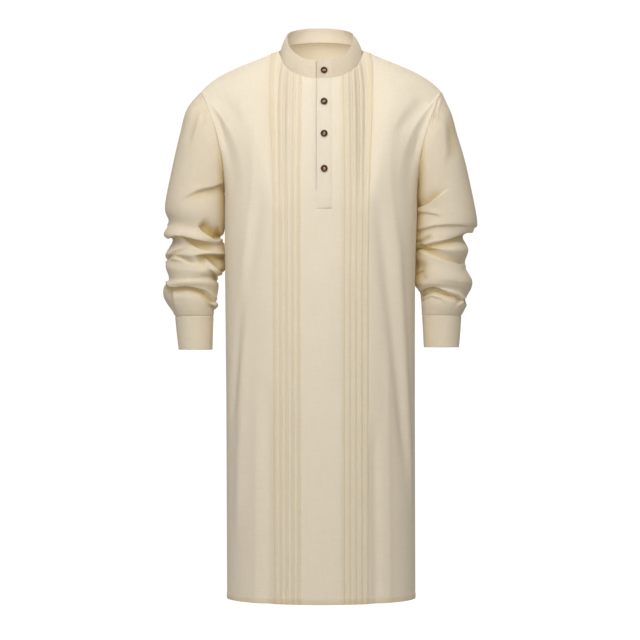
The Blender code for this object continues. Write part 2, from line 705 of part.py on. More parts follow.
def build_cuff(name, seam, cuff, side, collection):
    """One cuff: a band from the sleeve's edge down, with its lap lifted over its other end."""
    turns = armhole_turns()
    count = len(turns)
    ring = Ring(cuff.out_x, cuff.z, cuff.in_x, cuff.z, cuff.z, cuff.front_y, cuff.back_y, 0.0)
    axis = Vector(((cuff.out_x + cuff.in_x) / 2 * side, (cuff.front_y + cuff.back_y) / 2, 0.0))
    outer = []
    for step in range(count + LAP_COLUMNS + 1):
        index = (CUFF_LAP_COLUMN + step) % count
        low = ring_point(ring, turns[index])
        low.x *= side
        level = seam[index] - axis
        level.z = 0.0
        lift = (WALL + LAY_GAP) * soft_step(LAP_COLUMNS + 1 - step)
        level.normalize()
        outer.append([mix(low, seam[index], row / CUFF_ROWS) + level * lift for row in range(CUFF_ROWS + 1)])
    out = outward_directions(outer, False, on_axis(axis.x, axis.y))
    inner = [[point - out[i][j] * WALL for j, point in enumerate(column)] for i, column in enumerate(outer)]
    top = [(i, CUFF_ROWS) for i in range(len(outer))]
    part_seam(outer, inner, top, into_axis(axis.x, axis.y), -UP)
    piece = cloth_wall(name, outer, inner, collection)
    dress(piece, CLOTH_COLOUR, CLOTH_ROUGHNESS)
    return outer, out


def build_button(name, seat, outward, collection):
    """A turned button with a raised rim and a dished middle, its flat underside just clear of its seat."""
    inside = BUTTON_RADIUS - BUTTON_RIM
    profile = (
        (0.0, BUTTON_THICKNESS - BUTTON_DISH),
        (inside * 0.72, BUTTON_THICKNESS - BUTTON_DISH),
        (inside, BUTTON_THICKNESS),
        (BUTTON_RADIUS - BUTTON_RIM * 0.4, BUTTON_THICKNESS * 0.9),
        (BUTTON_RADIUS, BUTTON_THICKNESS * 0.55),
        (inside, 0.0),
        (0.0, 0.0),
    )
    mesh = bpy.data.meshes.new(name)
    work = bmesh.new()
    verts = [work.verts.new((radius, 0.0, height)) for radius, height in profile]
    for start, end in zip(verts, verts[1:]):
        work.edges.new((start, end))
    work.to_mesh(mesh)
    work.free()
    button = bpy.data.objects.new(name, mesh)
    collection.objects.link(button)
    turning = button.modifiers.new("turned", "SCREW")
    turning.steps = BUTTON_STEPS
    turning.render_steps = BUTTON_STEPS
    turning.use_merge_vertices = True
    turning.merge_threshold = MERGE_DISTANCE
    button.location = seat + outward * BUTTON_SEAT
    button.rotation_euler = outward.to_track_quat("Z", "Y").to_euler()
    button.data.materials.append(cloth_material(name + "_finish", BUTTON_COLOUR, BUTTON_ROUGHNESS))


def seat_on(points, column, share_or_height, by_height=True):
    """Place and outward direction on a piece's outer points, midway along a column's stretch."""
    line = points[column]
    beside = points[column + 1]
    if by_height:
        row = next(j for j in range(len(line) - 1) if line[j].z <= share_or_height <= line[j + 1].z)
        share = (share_or_height - line[row].z) / (line[row + 1].z - line[row].z)
    else:
        place = share_or_height * (len(line) - 1)
        row = min(int(place), len(line) - 2)
        share = place - row
    seat = mix(line[row], line[row + 1], share)
    outward = (beside[row] - line[row]).cross(line[row + 1] - line[row]).normalized()
    return seat, outward


def build_buttons(strip, collar, cuffs, collection):
    """The collar and placket buttons and one on each cuff's lap."""
    seat, outward = seat_on(collar, 1, COLLAR_BUTTON_SHARE, by_height=False)
    build_button("button_1", seat, outward, collection)
    for index, height in enumerate(FRONT_BUTTON_HEIGHTS):
        seat, outward = seat_on(strip, 1, height)
        build_button(f"button_{index + 2}", seat, outward, collection)
    for name, (points, out) in cuffs.items():
        seat = mix(points[1][0], points[1][-1], CUFF_BUTTON_SHARE)
        build_button(name, seat, out[1][1], collection)


def clear_scene():
    """Remove the objects that the file starts with."""
    for item in list(bpy.data.objects):
        bpy.data.objects.remove(item, do_unlink=True)


def parent_all(collection):
    """Carry every piece on one empty at the place where the shoulders hold the robe."""
    holder = bpy.data.objects.new("tucked_robe", None)
    collection.objects.link(holder)
    for piece in collection.objects:
        if piece is not holder:
            piece.parent = holder


def main():
    """Build the robe."""
    clear_scene()
    collection = bpy.data.collections.new("thobe_robe")
    bpy.context.scene.collection.children.link(collection)
    front = Panel("front")
    back = Panel("back")
    build_panel(front, collection)
    build_panel(back, collection)
    strip = build_placket(front, collection)
    collar = build_collar(collection)
    right_seam = build_sleeve("sleeve_right", SLEEVE_RIGHT, -1, collection)
    left_seam = build_sleeve("sleeve_left", SLEEVE_LEFT, 1, collection)
    cuffs = {
        "cuff_button_right": build_cuff("cuff_right", right_seam, CUFF_RIGHT, -1, collection),
        "cuff_button_left": build_cuff("cuff_left", left_seam, CUFF_LEFT, 1, collection),
    }
    build_buttons(strip, collar, cuffs, collection)
    parent_all(collection)


main()
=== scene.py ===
"""Looks of a long cream thobe robe with a band collar, a half placket and pressed tucks down its front.

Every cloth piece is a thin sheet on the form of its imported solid, with the folds, tucks, hems and stitches
that the solid leaves out. Lengths are in metres, +Z is up, the front faces -Y and the wearer's left is +X.
"""
from __future__ import annotations

import logging
import math
from dataclasses import astuple, dataclass, field
from enum import Enum
from typing import Iterable

import bmesh
import bpy
import numpy as np
from mathutils import Matrix, Vector

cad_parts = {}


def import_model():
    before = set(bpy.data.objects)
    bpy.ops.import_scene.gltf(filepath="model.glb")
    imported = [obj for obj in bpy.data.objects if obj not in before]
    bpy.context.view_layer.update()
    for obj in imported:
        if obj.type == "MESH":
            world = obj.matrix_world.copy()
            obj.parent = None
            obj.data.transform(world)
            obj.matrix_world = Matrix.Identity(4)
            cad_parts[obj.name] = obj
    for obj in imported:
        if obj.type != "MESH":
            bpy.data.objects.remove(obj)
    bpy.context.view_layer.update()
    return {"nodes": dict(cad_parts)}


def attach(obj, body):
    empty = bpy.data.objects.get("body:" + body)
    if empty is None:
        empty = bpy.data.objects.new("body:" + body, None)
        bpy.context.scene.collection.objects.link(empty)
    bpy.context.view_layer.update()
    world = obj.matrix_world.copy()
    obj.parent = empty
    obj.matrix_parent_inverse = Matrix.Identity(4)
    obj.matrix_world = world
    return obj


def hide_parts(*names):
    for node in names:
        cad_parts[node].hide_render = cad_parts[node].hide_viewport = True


LOG = logging.getLogger("robe")
MM = 0.001
BODY = "root"
UV_NAME = "cloth"
# Attribute with each point's share of painted golden shade: shade and bounced light in creases, light through
# layered cloth, and a painted shadow by the collar's lap.
PAINTED_SHADE = "painted_shade"
RADIAL = "radial"
WELD_DISTANCE = 1e-6
# How far a line of stitches pulls a doubled band in, and how far its edges round off.
BAND_PULL = 0.28 * MM
BAND_ROUND = 0.45 * MM


class Side(Enum):
    """The two halves of the body, by the way that each faces."""

    FRONT = -1.0
    BACK = 1.0


class Arm(Enum):
    """The wearer's arms, by the side of the middle plane that each is on."""

    RIGHT = -1.0
    LEFT = 1.0


class Over(Enum):
    """Which cloth lies on top at a crease: the cloth above its line or the cloth below it."""

    UPPER = 1.0
    LOWER = -1.0


def mix(start, end, share):
    """Return the value a share of the way from start to end."""
    return start + (end - start) * share


def soft_step(share):
    """Return a share eased at both ends and held to 0 and 1 beyond them."""
    held = np.clip(share, 0.0, 1.0)
    return held * held * (3.0 - 2.0 * held)


def hump(distance, width):
    """Return a smooth hump of height 1 that has nearly gone two widths away."""
    return np.exp(-np.square(distance / width))


def unit(vectors: np.ndarray) -> np.ndarray:
    """Return vectors scaled to length 1."""
    return vectors / np.maximum(np.linalg.norm(vectors, axis=-1, keepdims=True), 1e-12)


def stack(x, y, z) -> np.ndarray:
    """Return points from their three coordinates, which may be of unlike shapes."""
    return np.stack(np.broadcast_arrays(x, y, z), axis=-1).astype(float)


def linear(hex_colour: str) -> tuple[float, float, float, float]:
    """Turn an sRGB hex colour to linear light.

    Args:
        hex_colour: six hex digits after a #.

    Returns:
        Red, green, blue and an alpha of 1.
    """
    parts = [int(hex_colour[i:i + 2], 16) / 255 for i in (1, 3, 5)]
    light = [part / 12.92 if part <= 0.04045 else ((part + 0.055) / 1.055) ** 2.4 for part in parts]
    return (*light, 1.0)


# Materials


def add_node(material: bpy.types.Material, kind: str, settings: dict | None = None,
             links: dict | None = None) -> bpy.types.Node:
    """Add a node to a material.

    Args:
        material: the material that gets the node.
        kind: the node's type name.
        settings: values by the name of a property or of an input socket.
        links: output sockets by the name of the input socket that each feeds.

    Returns:
        The new node.
    """
    node = material.node_tree.nodes.new(kind)
    for name, value in (settings or {}).items():
        if hasattr(node, name):
            setattr(node, name, value)
        else:
            node.inputs[name].default_value = value
    for name, source in (links or {}).items():
        material.node_tree.links.new(source, node.inputs[name])
    return node


def mix_colours(material: bpy.types.Material, factor: bpy.types.NodeSocket, start: bpy.types.NodeSocket | str,
                end: bpy.types.NodeSocket | str) -> bpy.types.NodeSocket:
    """Add a node that mixes two colours.

    Args:
        material: the material that gets the node.
        factor: the output socket that gives the share of the second colour.
        start: the first colour, as an output socket or an sRGB hex colour.
        end: the second colour, in the same way.

    Returns:
        The mixed colour's output socket.
    """
    node = add_node(material, "ShaderNodeMix", {"data_type": "RGBA"}, {"Factor": factor})
    for socket, colour in zip(node.inputs[6:8], (start, end)):
        if isinstance(colour, str):
            socket.default_value = linear(colour)
        else:
            material.node_tree.links.new(colour, socket)
    return node.outputs[2]


def calculate(material: bpy.types.Material, operation: str,
              *terms: bpy.types.NodeSocket | float) -> bpy.types.NodeSocket:
    """Add a node that works out a number from output sockets and constants, and return its output socket."""
    node = add_node(material, "ShaderNodeMath", {"operation": operation})
    for socket, term in zip(node.inputs, terms):
        if isinstance(term, float):
            socket.default_value = term
        else:
            material.node_tree.links.new(term, socket)
    return node.outputs["Value"]


def wave_scale(spacing: float) -> float:
    """Return the scale that a wave texture repeats at, as it repeats every 2 pi / 20 at a scale of 1."""
    return 2 * math.pi / 20 / spacing


def new_material(name: str) -> tuple[bpy.types.Material, bpy.types.Node]:
    """Return a new node material and its surface shader."""
    material = bpy.data.materials.new(name)
    material.use_nodes = True
    return material, material.node_tree.nodes["Principled BSDF"]


@dataclass(frozen=True)
class LinenCotton:
    """Plain-woven linen and cotton: matt, with threads of uneven thickness that show as short streaks."""

    name: str
    thread: str = "#F5EBD8"
    shade: str = "#EFE3CC"
    slub: str = "#F9F2E2"
    # Painted golden shade: the colour painted where light has passed through several layers of the cloth and
    # where shade and bounced light fall in its deep creases.
    painted_shade: str = "#DAC388"
    glow: str = "#FAF3E4"
    let_through: float = 0.36
    # The real cloth has a thread about every 0.5 mm. Drawn at 0.9 mm it still shows in a close render.
    thread_spacing: float = 0.9 * MM
    slub_width: float = 1.6 * MM
    slub_length: float = 38 * MM
    patch: float = 90 * MM
    weave_relief: float = 0.02 * MM
    slub_relief: float = 0.08 * MM

    def make(self) -> bpy.types.Material:
        """Return the cloth as a material that reads the piece's flat cloth coordinates."""
        material, shader = new_material(self.name)
        links = material.node_tree.links
        flat = add_node(material, "ShaderNodeUVMap", {"uv_map": UV_NAME}).outputs["UV"]
        threads = [
            add_node(material, "ShaderNodeTexWave",
                     {"bands_direction": direction, "Scale": wave_scale(self.thread_spacing),
                      "Distortion": 0.6, "Detail": 1.0, "Detail Scale": 0.4}, {"Vector": flat}).outputs["Fac"]
            for direction in ("X", "Y")
        ]
        weave = calculate(material, "MAXIMUM", *threads)
        streaks = []
        for scales in ((1 / self.slub_width, 1 / self.slub_length, 1.0),
                       (1 / self.slub_length, 1 / self.slub_width, 1.0)):
            turned = add_node(material, "ShaderNodeMapping", {"Scale": scales}, {"Vector": flat})
            noise = add_node(material, "ShaderNodeTexNoise", {"Scale": 1.0, "Detail": 3.0, "Roughness": 0.6},
                             {"Vector": turned.outputs["Vector"]})
            streaks.append(noise.outputs["Fac"])
        slubs = calculate(material, "ADD", *streaks)
        spread = add_node(material, "ShaderNodeMapRange", {"From Min": 0.75, "From Max": 1.3},
                          {"Value": slubs})
        patches = add_node(material, "ShaderNodeTexNoise", {"Scale": 1 / self.patch, "Detail": 2.0},
                           {"Vector": flat})
        ground = mix_colours(material, patches.outputs["Fac"], self.shade, self.thread)
        cloth = mix_colours(material, spread.outputs["Result"], ground, self.slub)
        # Painted golden shade, mixed in by the piece's painted shade attribute.
        depth = add_node(material, "ShaderNodeAttribute", {"attribute_name": PAINTED_SHADE})
        with_painted_shade = mix_colours(material, depth.outputs["Fac"], cloth, self.painted_shade)
        links.new(with_painted_shade, shader.inputs["Base Color"])
        low = add_node(material, "ShaderNodeBump", {"Strength": 0.5, "Distance": self.slub_relief},
                       {"Height": slubs})
        fine = add_node(material, "ShaderNodeBump", {"Strength": 0.5, "Distance": self.weave_relief},
                        {"Height": weave, "Normal": low.outputs["Normal"]})
        links.new(fine.outputs["Normal"], shader.inputs["Normal"])
        shader.inputs["Roughness"].default_value = 0.86
        shader.inputs["Specular IOR Level"].default_value = 0.25
        shader.inputs["Sheen Weight"].default_value = 0.12
        shader.inputs["Sheen Roughness"].default_value = 0.5
        through = add_node(material, "ShaderNodeBsdfTranslucent", {"Color": linear(self.glow)},
                           {"Normal": fine.outputs["Normal"]})
        both = add_node(material, "ShaderNodeMixShader", {"Fac": self.let_through})
        links.new(shader.outputs["BSDF"], both.inputs[1])
        links.new(through.outputs["BSDF"], both.inputs[2])
        links.new(both.outputs["Shader"], material.node_tree.nodes["Material Output"].inputs["Surface"])
        return material


@dataclass(frozen=True)
class SewingThread:
    """Spun polyester sewing thread: a shade lighter than the cloth, with a soft shine along its twist."""

    name: str = "sewing_thread"
    colour: str = "#F7ECD2"
    twist: float = 0.7 * MM

    def make(self) -> bpy.types.Material:
        """Return the thread as a material in object coordinates."""
        material, shader = new_material(self.name)
        place = add_node(material, "ShaderNodeTexCoord").outputs["Object"]
        twist = add_node(material, "ShaderNodeTexWave",
                         {"bands_direction": "DIAGONAL", "Scale": wave_scale(self.twist)}, {"Vector": place})
        bump = add_node(material, "ShaderNodeBump", {"Strength": 0.4, "Distance": 0.1 * MM},
                        {"Height": twist.outputs["Fac"]})
        material.node_tree.links.new(bump.outputs["Normal"], shader.inputs["Normal"])
        shader.inputs["Base Color"].default_value = linear(self.colour)
        shader.inputs["Roughness"].default_value = 0.6
        return material


@dataclass(frozen=True)
class TortoiseResin:
    """Polished polyester button blank: amber resin in the dished middle, nearly black brown round the rim."""

    name: str = "tortoise_resin"
    dark: str = "#371A09"
    brown: str = "#4F290B"
    amber: str = "#B98543"
    marbling: float = 5.5 * MM
    rim_start: float = 0.62
    middle_end: float = 0.25
    marble_share: float = 0.9

    def make(self) -> bpy.types.Material:
        """Return the resin as a material in object coordinates."""
        material, shader = new_material(self.name)
        links = material.node_tree.links
        place = add_node(material, "ShaderNodeTexCoord").outputs["Object"]
        marble = add_node(material, "ShaderNodeTexNoise",
                          {"Scale": 1 / self.marbling, "Detail": 2.0, "Distortion": 1.4}, {"Vector": place})
        radial = add_node(material, "ShaderNodeAttribute", {"attribute_name": RADIAL})
        inward = add_node(material, "ShaderNodeMapRange",
                          {"From Min": self.rim_start, "From Max": self.middle_end},
                          {"Value": radial.outputs["Fac"]})
        mottled = calculate(material, "MULTIPLY_ADD", marble.outputs["Fac"], self.marble_share,
                            inward.outputs["Result"])
        ramp = add_node(material, "ShaderNodeValToRGB", links={"Fac": mottled})
        ramp.color_ramp.elements[0].position = 0.50
        ramp.color_ramp.elements[0].color = linear(self.dark)
        ramp.color_ramp.elements[1].position = 1.0
        ramp.color_ramp.elements[1].color = linear(self.amber)
        middle = ramp.color_ramp.elements.new(0.72)
        middle.color = linear(self.brown)
        links.new(ramp.outputs["Color"], shader.inputs["Base Color"])
        shader.inputs["Roughness"].default_value = 0.42
        shader.inputs["Specular IOR Level"].default_value = 0.25
        shader.inputs["IOR"].default_value = 1.54
        return material


@dataclass(frozen=True)
class StudioFloor:
    """Matt pale grey vinyl floor of a photographer's studio."""

    name: str = "studio_floor"
    colour: str = "#B8B6B2"

    def make(self) -> bpy.types.Material:
        """Return the floor as a material with faint scuffs."""
        material, shader = new_material(self.name)
        place = add_node(material, "ShaderNodeTexCoord").outputs["Object"]
        scuffs = add_node(material, "ShaderNodeTexNoise", {"Scale": 14.0, "Detail": 4.0}, {"Vector": place})
        rough = add_node(material, "ShaderNodeMapRange", {"To Min": 0.5, "To Max": 0.7},
                         {"Value": scuffs.outputs["Fac"]})
        material.node_tree.links.new(rough.outputs["Result"], shader.inputs["Roughness"])
        shader.inputs["Base Color"].default_value = linear(self.colour)
        return material


@dataclass
class Finishes:
    """Every material of the robe, made once."""

    body: bpy.types.Material = field(init=False)
    sleeve: bpy.types.Material = field(init=False)
    collar: bpy.types.Material = field(init=False)
    thread: bpy.types.Material = field(init=False)
    button_thread: bpy.types.Material = field(init=False)
    resin: bpy.types.Material = field(init=False)

    def __post_init__(self) -> None:
        """Make the materials."""
        self.body = LinenCotton("body_linen").make()
        # Painted shade: the sleeves are the body's cloth painted a little darker for the light that falls on
        # them.
        self.sleeve = LinenCotton("sleeve_linen", thread="#F0E5CF", shade="#E3D6BA", slub="#F4EAD8").make()
        # Painted shade: the collar is the body's cloth painted darker for the light that falls on it, with a
        # darker painted shadow colour for its lap.
        self.collar = LinenCotton("collar_linen", thread="#EADDC8", shade="#DDD0B8", slub="#F0E6D4",
                                   painted_shade="#B29C79", glow="#F7F1E8", let_through=0.46).make()
        self.thread = SewingThread().make()
        self.button_thread = SewingThread("button_thread", colour="#B98A4E").make()
        self.resin = TortoiseResin().make()


# Cloth sheets and sewing


@dataclass
class Sheet:
    """A grid of points on the outer side of a piece of cloth, in rows that run across it.

    points has rows, columns and coordinates. A closed sheet is a tube, whose last column joins its first.
    axis gives the middle line that its outer side faces away from, at the height of each point.
    """

    points: np.ndarray
    axis: tuple[float, float] = (0.0, 0.0)
    closed: bool = False
    out: np.ndarray = field(init=False)

    def __post_init__(self) -> None:
        """Work out the direction that each point faces."""
        if self.closed:
            across = np.roll(self.points, -1, axis=1) - np.roll(self.points, 1, axis=1)
        else:
            across = np.gradient(self.points, axis=1)
        out = unit(np.cross(across, np.gradient(self.points, axis=0)))
        rows, columns = self.points.shape[:2]
        middle = self.points[rows // 2, columns // 2] - np.array([*self.axis, 0.0])
        if np.dot(out[rows // 2, columns // 2][:2], middle[:2]) < 0:
            out = -out
        self.out = out

    def raised(self, heights) -> Sheet:
        """Return the sheet moved out along its own normals by heights."""
        return Sheet(self.points + self.out * np.asarray(heights)[..., None], self.axis, self.closed)

    def flat(self) -> np.ndarray:
        """Return each point's place on the flat cloth, in metres across and along."""
        middle = self.points[self.points.shape[0] // 2]
        steps = np.linalg.norm(np.diff(middle, axis=0), axis=1)
        across = np.concatenate([[0.0], np.cumsum(steps)])
        if self.closed:
            across = np.append(across, across[-1] + np.linalg.norm(middle[0] - middle[-1]))
        rises = np.linalg.norm(np.diff(self.points, axis=0), axis=2).mean(axis=1)
        along = np.concatenate([[0.0], np.cumsum(rises)])
        return np.stack(np.meshgrid(across, along), axis=-1)

    def make(self, name: str, wall: float, finish: bpy.types.Material,
             slit: tuple[int, int] | None = None, crisp: float = math.pi,
             painted_shade: np.ndarray | None = None) -> bpy.types.Object:
        """Make the cloth as an object with real thickness.

        Args:
            name: the object's name.
            wall: the cloth's thickness, inwards from the points.
            finish: the cloth's material.
            slit: a column that is cut open, and the row where the cut starts.
            crisp: the angle past which an edge of the cloth is pressed sharp.
            painted_shade: how far each point takes the cloth's painted golden shade colour.

        Returns:
            The object, at the origin.
        """
        points = self.points
        painted_tint = np.zeros(points.shape[:2]) if painted_shade is None else np.broadcast_to(painted_shade, points.shape[:2])
        if self.closed:
            points = np.concatenate([points, points[:, :1]], axis=1)
            painted_tint = np.concatenate([painted_tint, painted_tint[:, :1]], axis=1)
        rows, columns = points.shape[:2]
        flat = self.flat().reshape(-1, 2)
        work = bmesh.new()
        uv = work.loops.layers.uv.new(UV_NAME)
        bmesh.ops.create_grid(work, x_segments=columns - 1, y_segments=rows - 1, size=0.5)
        # Each point's share of painted golden shade.
        layer = work.verts.layers.float.new(PAINTED_SHADE)
        work.verts.ensure_lookup_table()
        for vert, point, value in zip(work.verts, points.reshape(-1, 3), painted_tint.reshape(-1).tolist()):
            vert.co = point
            vert[layer] = value
        for face in work.faces:
            for loop in face.loops:
                loop[uv].uv = flat[loop.vert.index]
        if slit:
            column, first = slit
            chain = [work.verts[row * columns + column] for row in range(first, rows)]
            cuts = [edge for low, high in zip(chain, chain[1:]) for edge in low.link_edges
                    if edge.other_vert(low) is high]
            bmesh.ops.split_edges(work, edges=cuts)
        if self.closed:
            bmesh.ops.remove_doubles(work, verts=work.verts[:], dist=WELD_DISTANCE)
        work.faces.ensure_lookup_table()
        work.normal_update()
        sample = work.faces[len(work.faces) // 2]
        place = sample.calc_center_median() - Vector((*self.axis, 0.0))
        if sample.normal.xy.dot(place.xy) < 0:
            bmesh.ops.reverse_faces(work, faces=work.faces[:])
        piece = to_object(work, name, finish)
        piece.data.set_sharp_from_angle(angle=crisp)
        shell = piece.modifiers.new("cloth thickness", "SOLIDIFY")
        shell.thickness = wall
        shell.offset = -1.0
        return piece


def to_object(work: bmesh.types.BMesh, name: str, finish: bpy.types.Material) -> bpy.types.Object:
    """Turn a bmesh into a smooth object with one material, and free it."""
    mesh = bpy.data.meshes.new(name)
    work.to_mesh(mesh)
    work.free()
    mesh.shade_smooth()
    mesh.materials.append(finish)
    piece = bpy.data.objects.new(name, mesh)
    bpy.context.scene.collection.objects.link(piece)
    return piece


@dataclass
class Sewing:
    """Lines of machine stitches, gathered into one object. Each stitch is a small closed bead of thread."""

    length: float = 2.3 * MM
    pitch: float = 3.0 * MM
    width: float = 0.55 * MM
    depth: float = 0.5 * MM
    beads: list[np.ndarray] = field(default_factory=list)

    def line(self, points: np.ndarray, out: np.ndarray) -> None:
        """Sew along a line of points, with stitches half sunk in cloth that faces out."""
        steps = np.linalg.norm(np.diff(points, axis=0), axis=1)
        gone = np.concatenate([[0.0], np.cumsum(steps)])
        number = max(int(gone[-1] / self.pitch), 1)
        middles = (np.arange(number) + 0.5) * gone[-1] / number
        half = self.length / 2
        starts, places, ends = (np.stack([np.interp(at, gone, points[:, axis]) for axis in range(3)], axis=-1)
                                for at in (middles - half, middles, middles + half))
        facing = np.stack([np.interp(middles, gone, out[:, axis]) for axis in range(3)], axis=-1)
        along = unit(ends - starts)
        side = unit(np.cross(facing, along))
        axes = np.stack([along * half, side * self.width / 2, unit(facing) * self.depth / 2], axis=1)
        self.beads.append(np.concatenate([axes, places[:, None]], axis=1))

    def on_sheet(self, sheet: Sheet, rows, columns) -> None:
        """Sew along a run of rows or of columns of a sheet."""
        self.line(sheet.points[rows, columns], sheet.out[rows, columns])

    def make(self, name: str, finish: bpy.types.Material) -> bpy.types.Object:
        """Return all the stitches as one object, each stamped from the same small bead."""
        bead = bmesh.new()
        bmesh.ops.create_uvsphere(bead, u_segments=5, v_segments=4, radius=1.0)
        corners = np.array([(*vert.co, 1.0) for vert in bead.verts])
        faces = [[vert.index for vert in face.verts] for face in bead.faces]
        bead.free()
        stitches = np.concatenate(self.beads)
        points = np.einsum("cj,njk->nck", corners, stitches).reshape(-1, 3)
        every = [[index + len(corners) * number for index in face] for number in range(len(stitches))
                 for face in faces]
        mesh = bpy.data.meshes.new(name)
        mesh.from_pydata(points.tolist(), [], every)
        work = bmesh.new()
        work.from_mesh(mesh)
        bpy.data.meshes.remove(mesh)
        return to_object(work, name, finish)


# The body's form


@dataclass(frozen=True)
class NeckLoop:
    """A loop round the neck, low in front: its half width, and its depth and height at three places."""

    half_width: float
    front_y: float
    side_y: float
    back_y: float
    front_z: float
    side_z: float
    back_z: float
    front_drop: float = 0.8

    def point(self, turn) -> np.ndarray:
        """Return points of the loop, turning from the centre front (0) to the centre back (pi)."""
        ahead = np.cos(turn)
        y = np.where(ahead >= 0, mix(self.side_y, self.front_y, ahead), mix(self.side_y, self.back_y, -ahead))
        z = np.where(ahead >= 0, mix(self.side_z, self.front_z, np.abs(ahead) ** self.front_drop),
                     mix(self.side_z, self.back_z, np.abs(ahead)))
        return stack(self.half_width * np.sin(turn), y, z)


@dataclass(frozen=True)
class Fold:
    """A broad fold of the body, from its top place to its low place, which swells or sinks by its rise."""

    side: Side
    top_angle: float
    top_z: float
    low_angle: float
    low_z: float
    width: float
    rise: float


BROAD_FOLDS = (
    Fold(Side.FRONT, 33, -0.24, 64, -0.86, 0.018, -0.0050),
    Fold(Side.FRONT, 50, -0.30, 74, -0.95, 0.016, 0.0035),
    Fold(Side.FRONT, -34, -0.23, -72, -0.78, 0.018, -0.0045),
    Fold(Side.FRONT, -48, -0.28, -62, -1.02, 0.018, 0.0040),
    Fold(Side.FRONT, 34, -0.70, 36, -1.30, 0.014, -0.0050),
    Fold(Side.FRONT, -33, -0.62, -34, -1.30, 0.013, -0.0050),
    Fold(Side.FRONT, -9, -0.46, 10, -0.80, 0.014, -0.0015),
    Fold(Side.BACK, 34, -0.20, 58, -0.90, 0.020, -0.0050),
    Fold(Side.BACK, -30, -0.22, -52, -0.84, 0.020, -0.0050),
    Fold(Side.BACK, 12, -0.45, 20, -1.30, 0.022, 0.0045),
    Fold(Side.BACK, -14, -0.55, -24, -1.30, 0.020, -0.0040),
    Fold(Side.BACK, 44, -0.62, 46, -1.30, 0.018, -0.0045),
)
SMALL_FOLDS = (
    Fold(Side.FRONT, 40, -0.16, 52, -0.40, 0.010, 0.0012),
    Fold(Side.FRONT, -40, -0.15, -50, -0.42, 0.010, 0.0012),
    Fold(Side.FRONT, 44, -0.55, 46, -1.20, 0.009, 0.0012),
    Fold(Side.FRONT, -42, -0.66, -44, -1.25, 0.010, 0.0014),
    Fold(Side.FRONT, 3, -0.36, 5, -0.70, 0.012, 0.0010),
    Fold(Side.FRONT, -5, -0.75, -3, -1.15, 0.012, 0.0010),
    Fold(Side.BACK, 4, -0.12, 10, -0.50, 0.012, 0.0014),
    Fold(Side.BACK, -22, -0.10, -28, -0.42, 0.012, -0.0016),
    Fold(Side.BACK, 60, -0.24, 50, -0.60, 0.011, 0.0016),
    Fold(Side.BACK, -62, -0.22, -48, -0.58, 0.011, 0.0016),
)


